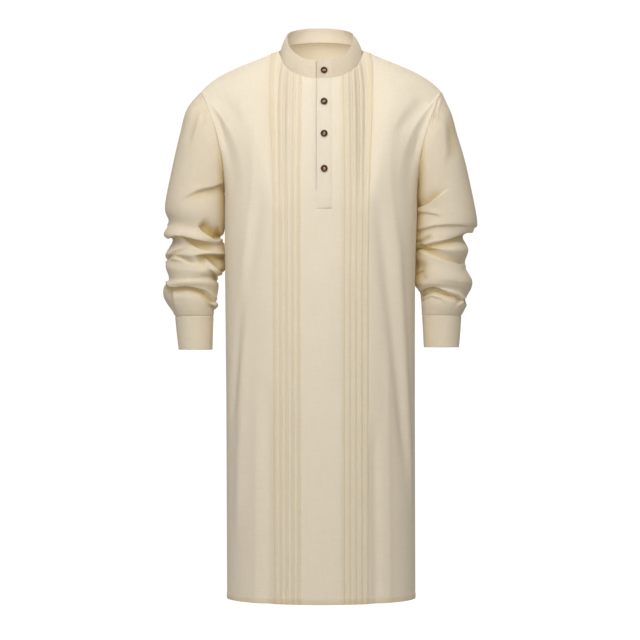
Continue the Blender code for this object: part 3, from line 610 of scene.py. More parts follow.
@dataclass(frozen=True)
class BodyForm:
    """The filled-out body, from the hem up to the neck, the shoulder seams and the armholes.

    A place on it is an angle, from the middle (0) to a side seam (90 degrees), and a level, which rises from
    the hem (0) over the chest line (1) to the piece's top edge (2).
    """

    hem_z: float = -1.102
    chest_z: float = -0.310
    chest_half: float = 0.198
    section_z: tuple[float, ...] = (-1.102, -0.700, -0.450, -0.310)
    half_widths: tuple[float, ...] = (0.1930, 0.1945, 0.1970, 0.1980)
    front_depths: tuple[float, ...] = (0.140, 0.139, 0.138, 0.136)
    back_depths: tuple[float, ...] = (0.136, 0.136, 0.137, 0.138)
    # The wearer's left side hangs a little further in than the right.
    left_ease: tuple[float, ...] = (0.0, 0.0025, 0.0048, 0.0012)
    neck: NeckLoop = NeckLoop(0.0830, -0.082, -0.006, 0.070, -0.044, 0.020, 0.044)
    neck_at_chest: float = 0.0885
    tip: tuple[float, float, float] = (0.2465, -0.006, -0.066)
    tip_angle: float = math.radians(50)
    pit: tuple[float, float, float] = (0.198, 0.012, -0.265)
    droop: float = 0.020
    droop_power: float = 6.0
    front_scoop: float = 2.1
    back_scoop: float = 1.7
    armhole_front: float = 0.056
    armhole_back: float = 0.064
    neck_round: float = 1.5
    neck_side_round: float = 1.2
    neck_side_reach: float = math.radians(8)
    shoulder_round: float = 2.0
    pit_round: float = 1.1
    neck_spread: float = 1.3
    tip_spread: float = 2.6
    straight_below_tip: float = math.radians(16)
    ease_turns: tuple[float, ...] = (-10, -5, 0, 5, 10)
    ease_power: float = 8.0
    fold_end_share: float = 0.2
    fold_side_fade: float = math.radians(10)
    fold_top_fade: float = 0.05

    @property
    def neck_angle(self) -> float:
        """Angle of the column that runs up to the neck's side."""
        return math.asin(self.neck_at_chest / self.chest_half)

    def angle_across(self, across):
        """Return the angle of a place that lies a distance across from the centre at the chest."""
        return np.arcsin(np.asarray(across) / self.chest_half)

    def neck_turn(self, angle):
        """Return the turn round the neck that a column's angle runs up to."""
        return np.arcsin(np.clip(self.chest_half * np.sin(angle) / self.neck_at_chest, -1.0, 1.0))

    def ring(self, side: Side, angle, z) -> np.ndarray:
        """Return points of the body's outline at a height."""
        depths = self.front_depths if side is Side.FRONT else self.back_depths
        depth = side.value * np.interp(z, self.section_z, depths)
        half = np.where(np.asarray(angle) > 0.0, self.half_width(z, Arm.LEFT), self.half_width(z, Arm.RIGHT))
        return stack(half * np.sin(angle), depth * np.cos(angle), z)

    def half_width(self, z, arm: Arm):
        """Return the distance of the body's side from the middle plane, at heights, below one arm."""
        ease = np.interp(z, self.section_z, self.left_ease) if arm is Arm.LEFT else 0.0
        return np.interp(z, self.section_z, self.half_widths) - ease

    def shoulder_point(self, share) -> np.ndarray:
        """Return points of the shoulder seam, from the neck (0) to the tip (1)."""
        neck = self.neck.point(math.pi / 2)
        fall = neck[2] - self.tip[2] - self.droop
        z = neck[2] - fall * share - self.droop * share ** self.droop_power
        return stack(mix(neck[0], self.tip[0], share), mix(neck[1], self.tip[1], share), z)

    def armhole_point(self, turn) -> np.ndarray:
        """Return points of the armhole, from the tip (0) over the front to the pit (pi) and up the back."""
        upper = (1.0 + np.cos(turn)) / 2.0
        in_front = np.sin(turn) >= 0
        scoop = np.where(in_front, self.front_scoop, self.back_scoop)
        depth = np.where(in_front, self.armhole_front, self.armhole_back)
        x = mix(self.pit[0], self.tip[0], upper ** scoop)
        y = mix(self.pit[1], self.tip[1], upper) - depth * np.sin(turn)
        return stack(x, y, mix(self.pit[2], self.tip[2], upper))

    def top_curve(self, side: Side, angle) -> np.ndarray:
        """Return the points where columns meet the neckline, the shoulder seam or the armhole."""
        size = np.abs(angle)
        turn = self.neck_turn(size)
        neck = self.neck.point(turn if side is Side.FRONT else math.pi - turn)
        run = np.clip((size - self.neck_angle) / (self.tip_angle - self.neck_angle), 0.0, 1.0)
        shoulder = self.shoulder_point(run)
        down = math.pi * np.clip((size - self.tip_angle) / (math.pi / 2 - self.tip_angle), 0.0, 1.0)
        armhole = self.armhole_point(down if side is Side.FRONT else -down)
        past_neck = (size > self.neck_angle)[..., None]
        past_tip = (size > self.tip_angle)[..., None]
        points = np.where(past_tip, armhole, np.where(past_neck, shoulder, neck))
        points[..., 0] *= np.where(np.asarray(angle) < 0, -1.0, 1.0)
        return points

    def panel(self, side: Side, angle: np.ndarray, level: np.ndarray) -> Sheet:
        """Return the body's surface on one side, with rows at levels and columns at angles, without folds."""
        angle = angle[None, :]
        level = level[:, None]
        low = self.ring(side, angle, mix(self.hem_z, self.chest_z, np.clip(level, 0.0, 1.0)))
        size = np.abs(angle)
        chest = self.ring(side, angle, np.full_like(level, self.chest_z))
        top = self.top_curve(side, angle)
        keep = 1.0 - soft_step(2.0 * (size - self.neck_angle) / (self.tip_angle - self.neck_angle))
        eased = sum(self.top_curve(side, angle + math.radians(turn) * keep) for turn in self.ease_turns)
        eased = eased / len(self.ease_turns)
        roundness = np.full_like(size, self.shoulder_round)
        if side is Side.FRONT:
            roundness = mix(self.neck_round, self.shoulder_round, np.minimum(size / self.neck_angle, 1.0))
            beside = hump(size - self.neck_angle, self.neck_side_reach)
            roundness = mix(roundness, self.neck_side_round, beside)
        below = soft_step((size - self.tip_angle) / self.straight_below_tip)
        roundness = mix(roundness, self.pit_round, below)
        lean = soft_step((size - self.neck_angle) / (self.tip_angle - self.neck_angle))
        spread = mix(self.neck_spread, self.tip_spread, lean)
        turn = math.pi / 2 * np.clip(level - 1.0, 0.0, 1.0)
        rise = np.sin(turn) ** (2 / roundness)
        reach = np.abs(np.cos(turn)) ** (2 / roundness)
        reach = np.where(level >= 2.0, 0.0, reach)
        goal = mix(eased, top, rise[..., None] ** self.ease_power)
        high = stack(mix(chest[..., 0], goal[..., 0], rise ** spread),
                     mix(goal[..., 1], chest[..., 1], reach), mix(chest[..., 2], goal[..., 2], rise))
        return Sheet(np.where((level <= 1.0)[..., None], low, high))

    def fold_heights(self, side: Side, sheet: Sheet, angle: np.ndarray, folds: Iterable[Fold]) -> np.ndarray:
        """Return how far folds move each point of a side outwards."""
        angle = angle[None, :]
        z = sheet.points[..., 2]
        height = np.zeros_like(z)
        for fold in folds:
            if fold.side is not side:
                continue
            share = (z - fold.top_z) / (fold.low_z - fold.top_z)
            along = soft_step(share / self.fold_end_share) * soft_step((1.0 - share) / self.fold_end_share)
            centre = np.radians(mix(fold.top_angle, fold.low_angle, share))
            height += fold.rise * along * hump((angle - centre) * self.chest_half, fold.width)
        to_side = soft_step((math.pi / 2 - np.abs(angle)) / self.fold_side_fade)
        to_top = soft_step((self.top_curve(side, angle)[..., 2] - z) / self.fold_top_fade)
        return height * to_side * to_top


@dataclass(frozen=True)
class Crease:
    """A crease across a sleeve, seen from the front or from behind.

    line holds its places in millimetres: outwards from the middle plane, and up from the shoulders. The cloth
    on top swells to lip over a width, drops to depth within sharp, and the cloth beneath recovers over a
    width. It eases in and out over shares of its length, and takes up the side that faces back when behind.
    """

    line: tuple[tuple[float, float], ...]
    over: Over = Over.UPPER
    lip: float = 2.5
    depth: float = 5.0
    sharp: float = 3.5
    top_width: float = 11.0
    low_width: float = 12.0
    fade_in: float = 0.12
    fade_out: float = 0.25
    behind: bool = False

    def heights(self, x: np.ndarray, z: np.ndarray) -> np.ndarray:
        """Return how far the crease moves the cloth outwards.

        Args:
            x: distances outwards from the middle plane, in metres.
            z: heights, in metres.

        Returns:
            Heights in metres.
        """
        line = np.array(self.line) * MM
        lengths = np.linalg.norm(np.diff(line, axis=0), axis=1)
        gone = np.concatenate([[0.0], np.cumsum(lengths)])
        best = np.full(x.shape, np.inf)
        signed = np.zeros(x.shape)
        along = np.zeros(x.shape)
        for start, end, length, before in zip(line, line[1:], lengths, gone):
            step = (end - start) / length
            reach = np.clip((x - start[0]) * step[0] + (z - start[1]) * step[1], 0.0, length)
            dx = x - start[0] - step[0] * reach
            dz = z - start[1] - step[1] * reach
            distance = np.hypot(dx, dz)
            closer = distance < best
            below = -dz if abs(step[0]) > abs(step[1]) else dx
            best = np.where(closer, distance, best)
            signed = np.where(closer, np.where(below >= 0, distance, -distance), signed)
            along = np.where(closer, (before + reach) / gone[-1], along)
        away = signed * self.over.value
        drop = soft_step(away / (self.sharp * MM) + 0.5)
        top = self.lip * MM * hump(np.minimum(away, 0.0), self.top_width * MM)
        low = -self.depth * MM * hump(np.maximum(away - self.sharp * MM / 2, 0.0), self.low_width * MM)
        ends = soft_step(along / self.fade_in) * soft_step((1.0 - along) / self.fade_out)
        return mix(top, low, drop) * ends


# Soft drags of the front between the chest and each armhole, on the wearer's right and left
RIGHT_DRAGS = (
    Crease(((204, -64), (190, -82), (170, -106), (160, -132), (158, -160)), lip=0.8, depth=2.6, sharp=16.0,
           top_width=14, low_width=13, fade_in=0.15, fade_out=0.5),
    Crease(((226, -112), (213, -130), (204, -160), (199, -196)), Over.LOWER, lip=0.6, depth=2.2, sharp=7.0,
           top_width=9, low_width=8, fade_in=0.3, fade_out=0.4),
)
LEFT_DRAGS = (
    Crease(((206, -72), (191, -91), (169, -120), (152, -147), (145, -180)), lip=1.2, depth=4.2, sharp=16.0,
           top_width=18, low_width=15, fade_in=0.2, fade_out=0.5),
    Crease(((200, -150), (190, -180), (186, -220)), lip=0.4, depth=1.6, sharp=10.0,
           top_width=9, low_width=9, fade_in=0.4, fade_out=0.5),
)


@dataclass(frozen=True)
class Tucks:
    """Narrow tucks pressed outwards on each side of the front, stitched from the neck to the hem."""

    count: int = 5
    first: float = 0.048
    pitch: float = 0.0122
    width: float = 5.5 * MM
    rise: float = 1.5 * MM
    # Across one tuck: millimetres from its pressed edge, and the share of its rise. The last rows turn under.
    profile: tuple[tuple[float, float], ...] = (
        (-6.3, 0.0), (-5.8, -0.16), (-5.4, 0.42), (-4.7, 0.80), (-2.5, 0.90), (-0.6, 1.0), (0.0, 0.86),
        (-0.1, 0.46), (-1.0, 0.05), (-0.9, -0.32), (0.4, -0.38), (1.4, 0.0),
    )
    wander: float = 0.12 * MM
    # Share of painted golden shade on the tucks, for light through their folded layers.
    painted_tint: float = 0.26

    def edges(self) -> list[float]:
        """Return the distance of each pressed edge from the centre at the chest."""
        return [self.first + self.pitch * index for index in range(self.count)]

    def across(self) -> tuple[np.ndarray, np.ndarray]:
        """Return the columns of all the tucks of one side: distance across, and share of the rise."""
        places = [edge + offset * MM for edge in self.edges() for offset, _ in self.profile]
        shares = [share for _ in self.edges() for _, share in self.profile]
        return np.array(places), np.array(shares)


def spaced(start: float, end: float, step: float) -> np.ndarray:
    """Return evenly spaced values between two ends, both left out, near a step apart."""
    number = max(int(round(abs(end - start) / step)), 1)
    return np.linspace(start, end, number + 1)[1:-1]


@dataclass
class BodyCloth:
    """The front and back panels, with the tucks, the hem and the placket strips that lie on the front."""

    finishes: Finishes
    form: BodyForm = BodyForm()
    tucks: Tucks = Tucks()
    wall: float = 0.6 * MM
    column_step: float = 5.0 * MM
    # The drags lie between each armhole and this distance from the middle.
    drag_start: float = 0.11
    low_rows: int = 134
    high_rows: int = 78
    hem_depth: float = 12 * MM
    hem_swell: float = 0.5 * MM
    seam_dip: float = 0.9 * MM
    seam_width: float = 2.2 * MM
    slit: float = -0.009
    strip_edge: float = 0.0215
    under_edge: float = -0.021
    slit_level: float = 1.128
    strip_wall: float = 1.2 * MM
    strip_out: float = 1.1 * MM
    sewn_out: float = 0.45 * MM
    # The lines of stitches across the strip's lower end stand at these heights above it.
    box_rows: tuple[float, ...] = (2 * MM, 19 * MM, 32 * MM)
    strip_pull: float = 0.25 * MM
    strip_edge_round: float = 0.2 * MM
    strip_ease: float = 4 * MM
    pucker: float = 0.12 * MM
    gape: float = 0.5 * MM
    under_out: float = -1.0 * MM
    stitch_sink: float = 0.35 * MM
    hem_edge_round: float = 0.3 * MM
    # Painted golden shade on the doubled hem, for light through its two layers.
    hem_painted_shade: float = 0.30
    sewing: Sewing = field(default_factory=Sewing)

    def levels(self) -> np.ndarray:
        """Return the levels of the rows, closer together at the hem and at the top edge."""
        step = self.hem_depth / (self.form.chest_z - self.form.hem_z)
        low = np.concatenate([[0.0, 0.08 * step, 0.5 * step, 0.92 * step, step, 1.1 * step],
                              np.linspace(1.6 * step, 1.0, self.low_rows)])
        high = np.concatenate([np.linspace(1.0, 1.985, self.high_rows)[1:], [1.990, 1.994, 1.997, 2.0]])
        return np.concatenate([low, high])

    def seam_dips(self, sheet: Sheet) -> np.ndarray:
        """Return how far the cloth turns in where a panel is sewn at its sides and its top edge."""
        to_top = np.linalg.norm(sheet.points - sheet.points[-1:], axis=-1)
        to_left = np.linalg.norm(sheet.points - sheet.points[:, :1], axis=-1)
        to_right = np.linalg.norm(sheet.points - sheet.points[:, -1:], axis=-1)
        nearest = np.minimum(np.minimum(to_left, to_right), to_top)
        return -self.seam_dip * hump(nearest, self.seam_width)

    def hem_heights(self, level: np.ndarray) -> np.ndarray:
        """Return how the doubled hem stands out from the single cloth above its stitches."""
        step = self.hem_depth / (self.form.chest_z - self.form.hem_z)
        doubled = self.hem_swell * (1.0 - soft_step((level / step - 0.9) / 0.2))
        stitched = -self.stitch_sink * hump(level / step - 1.0, 0.12)
        edge = -self.hem_edge_round * hump(level / step, 0.1)
        return (doubled + stitched + edge)[:, None]

    def painted_hem_share(self, level: np.ndarray) -> np.ndarray:
        """Return the share of painted golden shade on the doubled hem beside the single cloth, for light
        through its two layers.
        """
        step = self.hem_depth / (self.form.chest_z - self.form.hem_z)
        return self.hem_painted_shade * (1.0 - soft_step((level / step - 0.95) / 0.1))[:, None]

    def front_columns(self) -> tuple[np.ndarray, np.ndarray]:
        """Return the angles of the front's columns, and the share of a tuck's rise in each."""
        form = self.form
        tuck_x, tuck_rise = self.tucks.across()
        tuck_angle = form.angle_across(tuck_x)
        last = tuck_angle[-1]
        step = self.column_step / form.chest_half
        beyond = np.concatenate([spaced(last, math.pi / 2 - 0.02, step),
                                 [math.pi / 2 - 0.02, math.pi / 2 - 0.008, math.pi / 2]])
        marks = form.angle_across([self.under_edge, self.slit, self.strip_edge])
        inner = tuck_angle[0]
        middle = [-inner]
        for start, end in zip([-inner, *marks], [*marks, inner]):
            middle.extend(spaced(start, end, step))
            middle.append(end)
        middle = np.array(middle[1:-1])
        half = np.concatenate([tuck_angle, beyond])
        rise = np.concatenate([tuck_rise, np.zeros(len(beyond))])
        angles = np.concatenate([-half[::-1], middle, half])
        return angles, np.concatenate([rise[::-1], np.zeros(len(middle)), rise])

    def build_front(self) -> bpy.types.Object:
        """Make the front, with its tucks standing up and their pressed edges turned under."""
        angle, share = self.front_columns()
        level = self.levels()
        form = self.form
        sheet = form.panel(Side.FRONT, angle, level)
        folds = form.fold_heights(Side.FRONT, sheet, angle, BROAD_FOLDS + SMALL_FOLDS)
        x, z = sheet.points[..., 0], sheet.points[..., 2]
        for sign, drags in ((-1.0, RIGHT_DRAGS), (1.0, LEFT_DRAGS)):
            for drag in drags:
                folds += np.where(x * sign > self.drag_start, drag.heights(np.abs(x), z), 0.0)
        folded = sheet.raised(folds)
        z = folded.points[..., 2]
        uneven = 0.04 * np.sin(z * 61 + angle * 40) + 0.03 * np.sin(z * 23 - angle * 71)
        fade = soft_step((2.0 - level) / 0.02)[:, None]
        tucked = self.tucks.rise * share[None, :] * (1.0 + uneven) * fade
        heights = tucked + self.seam_dips(folded) + self.hem_heights(level)
        drift = self.tucks.wander * np.sin(z * 47 + np.sign(angle) * 2.0) * (np.abs(share) > 0.05)
        shaped = folded.raised(heights)
        shaped.points[..., 0] += drift * fade
        column = int(np.argmin(np.abs(angle - form.angle_across(self.slit))))
        row = int(np.argmin(np.abs(level - self.slit_level)))
        self.sew_tucks(shaped, angle)
        self.sew_hem(shaped)
        # Painted golden shade on the tucks' folded layers and on the doubled hem.
        painted_shade_share = self.tucks.painted_tint * (np.abs(share) > 0.3)[None, :] + self.painted_hem_share(level)
        return shaped.make("front_cloth", self.wall, self.finishes.body, slit=(column, row),
                           crisp=math.radians(48), painted_shade=painted_shade_share)

    def build_back(self) -> bpy.types.Object:
        """Make the plain back."""
        form = self.form
        step = self.column_step / form.chest_half
        ends = np.array([math.pi / 2 - 0.02, math.pi / 2 - 0.008, math.pi / 2])
        angle = np.concatenate([-ends[::-1], spaced(-ends[0], ends[0], step), ends])
        level = self.levels()
        sheet = form.panel(Side.BACK, angle, level)
        folded = sheet.raised(form.fold_heights(Side.BACK, sheet, angle, BROAD_FOLDS + SMALL_FOLDS))
        shaped = folded.raised(self.seam_dips(folded) + self.hem_heights(level))
        self.sew_hem(shaped)
        # The doubled hem takes painted golden shade.
        return shaped.make("back_cloth", self.wall, self.finishes.body, painted_shade=self.painted_hem_share(level))

    def sew_hem(self, sheet: Sheet) -> None:
        """Sew the hem along the row at its depth."""
        self.sewing.on_sheet(sheet, 4, slice(1, -1))

    def sew_tucks(self, sheet: Sheet, angle: np.ndarray) -> None:
        """Sew each tuck down along its stitched base."""
        for edge in self.tucks.edges():
            for sign in (-1.0, 1.0):
                across = sign * (edge - self.tucks.width)
                column = int(np.argmin(np.abs(angle - self.form.angle_across(across))))
                self.sewing.on_sheet(sheet, slice(5, -3), column)

    def strip(self, start: float, end: float, out: float) -> tuple[Sheet, np.ndarray]:
        """Return a strip that lies on the front between two places across, and each column's place across."""
        form = self.form
        inset = np.array([0.0, 0.4, 1.4, 2.0, 2.6, 4.0]) * MM
        across = np.concatenate([start + inset, spaced(start + inset[-1], end - inset[-1], 3 * MM),
                                 (end - inset)[::-1]])
        angle = form.angle_across(across)
        level = self.levels()
        level = level[level >= 1.0]
        sheet = form.panel(Side.FRONT, angle, level)
        folded = sheet.raised(form.fold_heights(Side.FRONT, sheet, angle, BROAD_FOLDS))
        return folded.raised(np.full(folded.points.shape[:2], out)), across

    def build_strips(self) -> list[bpy.types.Object]:
        """Make the strip with the buttonholes, and the one behind the slit that carries the buttons."""
        over, across = self.strip(self.slit, self.strip_edge, self.strip_out)
        edge = np.minimum(across - across[0], across[-1] - across)
        z = over.points[:, 0, 2]
        low = z - z[0]
        rows = [int(np.argmin(np.abs(low - height))) for height in self.box_rows]
        heights = -self.strip_pull * hump(edge - 2 * MM, 0.8 * MM)
        heights = heights - self.strip_edge_round * hump(edge, 0.5 * MM)
        free = np.maximum(soft_step((across - across[0]) / self.strip_ease)[None, :],
                          soft_step((low - self.box_rows[-1]) / (5 * MM))[:, None])
        free = free * soft_step((across[-1] - across) / self.strip_ease) * soft_step(low / (6 * MM))[:, None]
        heights = heights - (self.strip_out - self.sewn_out) * (1.0 - free)
        ripple = self.pucker * np.sin(z * 310)[:, None] * hump(edge - 2 * MM, 2 * MM)[None, :]
        ripple = ripple + self.gape * np.sin(z[:, None] * 105 + across[None, :] * 130) \
            * soft_step(edge / (7 * MM))[None, :] * free
        top = np.linalg.norm(over.points - over.points[-1:], axis=-1)
        shaped = over.raised(heights + ripple - self.seam_dip * hump(top, self.seam_width))
        for column in (3, len(across) - 4):
            self.sewing.on_sheet(shaped, slice(rows[0], -2), column)
        for row in rows:
            self.sewing.on_sheet(shaped, row, slice(3, len(across) - 3))
        under, _ = self.strip(self.under_edge, self.strip_edge, self.under_out)
        return [
            shaped.make("placket_over_cloth", self.strip_wall, self.finishes.body),
            under.make("placket_under_cloth", self.strip_wall, self.finishes.body),
        ]


@dataclass
class Collar:
    """The standing band, sewn to the neckline, whose front lap covers its other end."""

    finishes: Finishes
    form: BodyForm = BodyForm()
    rim: NeckLoop = NeckLoop(0.0674, -0.070, -0.004, 0.058, -0.008, 0.052, 0.072)
    wall: float = 1.5 * MM
    swell: float = 1.5 * MM
    lift: float = 1.8 * MM
    lift_end: float = 0.0403
    lap_start: float = -0.009
    lap_under: float = 0.00625
    lap_strip: float = 0.0215
    lap_groove: float = 2.6 * MM
    # Painted shadow beside the lap's edge, in the collar's darker painted shade colour.
    lap_painted_shadow: float = 0.8
    columns: int = 190
    # The band's lower edge goes on this share of its height below the neckline, under the seam.
    seam_share: float = -0.06
    rim_shift: float = -2.0 * MM
    ripple: float = 0.25 * MM
    sewing: Sewing = field(default_factory=Sewing)

    def build(self) -> bpy.types.Object:
        """Make the band, with the dips that its two lines of stitches pull."""
        form = self.form
        start = float(form.neck_turn(form.angle_across(self.lap_start)))
        end = float(form.neck_turn(form.angle_across(self.lap_under))) + 2 * math.pi
        turn = np.concatenate([[start, start + 0.006, start + 0.02], spaced(start + 0.02, end - 0.006,
                               (end - start) / self.columns), [end - 0.006, end]])
        inset = np.array([0.0, 0.02, 0.06, 0.10, 0.14])
        share = np.concatenate([[self.seam_share], inset, spaced(0.14, 0.86, 0.08), (1.0 - inset)[::-1]])
        base = form.neck.point(turn)
        rim = self.rim.point(turn) + np.array([self.rim_shift, 0.0, 0.0])
        level = base - np.array([0.0, form.neck.side_y, 0.0])
        level[:, 2] = 0.0
        level = unit(level)
        lift_end = math.asin(self.lift_end / form.neck.half_width)
        strip_end = math.asin(self.lap_strip / form.neck_at_chest)
        lift = self.lift * soft_step((lift_end - turn) / (lift_end - strip_end))
        swell = self.swell * np.sin(math.pi * np.maximum(share, 0.0))
        out = (swell[:, None] + lift[None, :])[..., None] * level[None]
        points = mix(base[None], rim[None], share[:, None, None]) + out
        sheet = Sheet(points)
        dips = -BAND_PULL * (hump(share - 0.06, 0.03) + hump(share - 0.91, 0.03))
        edges = -BAND_ROUND * (hump(share, 0.015) + hump(share - 1.0, 0.015))
        wave = self.ripple * np.sin(turn * 9)[None, :] * np.sin(math.pi * share)[:, None]
        from_lap = turn - start - 2 * math.pi
        groove = -self.lap_groove * hump(from_lap, 0.024)
        outer = sheet.raised((dips + edges)[:, None] + wave + groove[None, :])
        for row in (3, len(share) - 4):
            self.sewing.on_sheet(outer, row, slice(2, -2))
        self.sewing.on_sheet(outer, slice(3, -3), 2)
        # Painted shadow on the under end, just beside the lap's edge.
        shaded = self.lap_painted_shadow * hump(from_lap, 0.022)[None, :]
        return outer.make("collar_cloth", self.wall, self.finishes.collar, painted_shade=shaded)


# Sleeves


@dataclass(frozen=True)
class Ring:
    """A ring of a sleeve through an outer, an inner, a front and a back point.

    cap is the share of the armhole's own curve that is left in it. The outer side is positive for both arms.
    """

    out_x: float
    out_z: float
    in_x: float
    in_z: float
    front_z: float
    front_y: float
    back_y: float
    cap: float = 0.0

    def values(self) -> tuple[float, ...]:
        """Return the ring's sizes in order."""
        return astuple(self)


RIGHT_RINGS = (
    Ring(0.2749, -0.1017, 0.1975, -0.2680, -0.172, -0.058, 0.073, 0.80),
    Ring(0.2902, -0.1533, 0.1960, -0.2800, -0.205, -0.056, 0.079, 0.45),
    Ring(0.3079, -0.2276, 0.1960, -0.2980, -0.255, -0.050, 0.086, 0.15),
    Ring(0.3217, -0.2998, 0.1950, -0.3280, -0.312, -0.046, 0.092),
    Ring(0.3141, -0.3308, 0.2010, -0.3560, -0.3455, -0.036, 0.086),
    Ring(0.3236, -0.3560, 0.2040, -0.3680, -0.3640, -0.041, 0.090),
    Ring(0.3079, -0.3690, 0.1985, -0.3850, -0.3810, -0.032, 0.082),
    Ring(0.3213, -0.4000, 0.1955, -0.4030, -0.4000, -0.037, 0.088),
    Ring(0.3175, -0.4112, 0.1960, -0.4200, -0.4148, -0.030, 0.082),
    Ring(0.3209, -0.4250, 0.1990, -0.4330, -0.4320, -0.034, 0.085),
    Ring(0.3124, -0.4504, 0.2150, -0.4440, -0.4480, -0.029, 0.080),
    Ring(0.3250, -0.4620, 0.2099, -0.4610, -0.4560, -0.031, 0.083),
    Ring(0.3256, -0.4814, 0.2165, -0.4893, -0.4650, -0.024, 0.078),
    Ring(0.3180, -0.4980, 0.2126, -0.5025, -0.4850, -0.024, 0.076),
    Ring(0.3060, -0.5160, 0.2204, -0.5118, -0.5090, -0.019, 0.070),
    Ring(0.3011, -0.5252, 0.2216, -0.5252, -0.5252, -0.013, 0.067),
)
LEFT_RINGS = (
    Ring(0.2700, -0.1203, 0.1975, -0.2680, -0.172, -0.058, 0.073, 0.80),
    Ring(0.2823, -0.1616, 0.1960, -0.2800, -0.205, -0.056, 0.079, 0.45),
    Ring(0.3000, -0.2250, 0.1945, -0.2950, -0.252, -0.050, 0.086, 0.15),
    Ring(0.3206, -0.3250, 0.1930, -0.3350, -0.318, -0.046, 0.092),
    Ring(0.3165, -0.3460, 0.1930, -0.3480, -0.3410, -0.042, 0.090),
    Ring(0.3040, -0.3560, 0.1930, -0.3620, -0.3580, -0.037, 0.087),
    Ring(0.2950, -0.3640, 0.1930, -0.3800, -0.3730, -0.033, 0.084),
    Ring(0.3029, -0.3894, 0.1930, -0.3850, -0.3880, -0.040, 0.088),
    Ring(0.2957, -0.4183, 0.1925, -0.3900, -0.4025, -0.034, 0.083),
    Ring(0.3103, -0.4498, 0.1920, -0.4350, -0.4430, -0.038, 0.086),
    Ring(0.3089, -0.4682, 0.1930, -0.4600, -0.4570, -0.034, 0.084),
    Ring(0.2984, -0.4868, 0.2020, -0.4720, -0.4680, -0.025, 0.076),
    Ring(0.3008, -0.5000, 0.2050, -0.4900, -0.4830, -0.026, 0.077),
    Ring(0.2940, -0.5140, 0.2068, -0.5100, -0.5050, -0.021, 0.071),
    Ring(0.2887, -0.5240, 0.2076, -0.5240, -0.5240, -0.013, 0.067),
)


RIGHT_CREASES = (
    Crease(((243, -98), (253, -128), (262, -160), (270, -196)), lip=0.5, depth=2.2, sharp=9.0,
           top_width=8, low_width=9, fade_in=0.25, fade_out=0.5),
    Crease(((232, -104), (236, -126), (240, -150)), lip=1.0, depth=1.8, sharp=3.5,
           top_width=5, low_width=6, fade_in=0.2, fade_out=0.6),
    Crease(((196, -254), (220, -264), (240, -268), (257, -274), (277, -285), (296, -300)),
           lip=1.5, depth=4.0, sharp=6.0, top_width=14, low_width=16, fade_in=0.02, fade_out=0.6),
    Crease(((254, -342), (247, -347), (233, -360), (215, -370), (198, -362)), Over.LOWER,
           lip=3.0, depth=9.0, sharp=4.0, top_width=8, low_width=17, fade_in=0.2, fade_out=0.05),
    Crease(((322, -367), (297, -362), (265, -368), (240, -373), (215, -376), (194, -378)),
           lip=3.0, depth=4.5, sharp=3.5, top_width=12, low_width=9, fade_in=0.02, fade_out=0.3),
    Crease(((297, -363), (282, -371), (265, -380), (247, -388), (230, -391), (194, -398)), Over.LOWER,
           lip=2.0, depth=4.0, sharp=3.0, top_width=8, low_width=9, fade_in=0.15, fade_out=0.5),
    Crease(((320, -403), (304, -393), (289, -389), (268, -384)),
           lip=1.5, depth=3.0, sharp=3.0, top_width=6, low_width=7, fade_in=0.05, fade_out=0.4),
    Crease(((262, -404), (240, -400), (220, -399), (194, -400)),
           lip=2.0, depth=8.0, sharp=3.5, top_width=7, low_width=15, fade_in=0.3, fade_out=0.02),
    Crease(((322, -412), (302, -405), (284, -410), (267, -418), (247, -421)), Over.LOWER,
           lip=2.5, depth=3.5, sharp=3.0, top_width=10, low_width=7, fade_in=0.03, fade_out=0.4),
    Crease(((240, -408), (230, -411), (215, -424), (200, -440)), Over.LOWER,
           lip=2.0, depth=4.0, sharp=3.5, top_width=8, low_width=8, fade_in=0.2, fade_out=0.1),
    Crease(((232, -424), (215, -440), (198, -446)),
           lip=1.5, depth=4.0, sharp=3.0, top_width=7, low_width=8, fade_in=0.4, fade_out=0.02),
    Crease(((324, -455), (309, -465), (299, -466), (277, -463), (260, -466), (240, -472), (225, -484),
            (212, -497)),
           lip=3.0, depth=5.5, sharp=3.0, top_width=13, low_width=13, fade_in=0.03, fade_out=0.06),
    Crease(((230, -499), (218, -506), (206, -512)),
           lip=2.0, depth=3.0, sharp=3.0, top_width=6, low_width=6, fade_in=0.4, fade_out=0.02),
    Crease(((313, -466), (306, -480), (304, -494), (299, -519)),
           lip=1.5, depth=2.0, sharp=7.0, top_width=9, low_width=9, fade_in=0.3, fade_out=0.3),
)
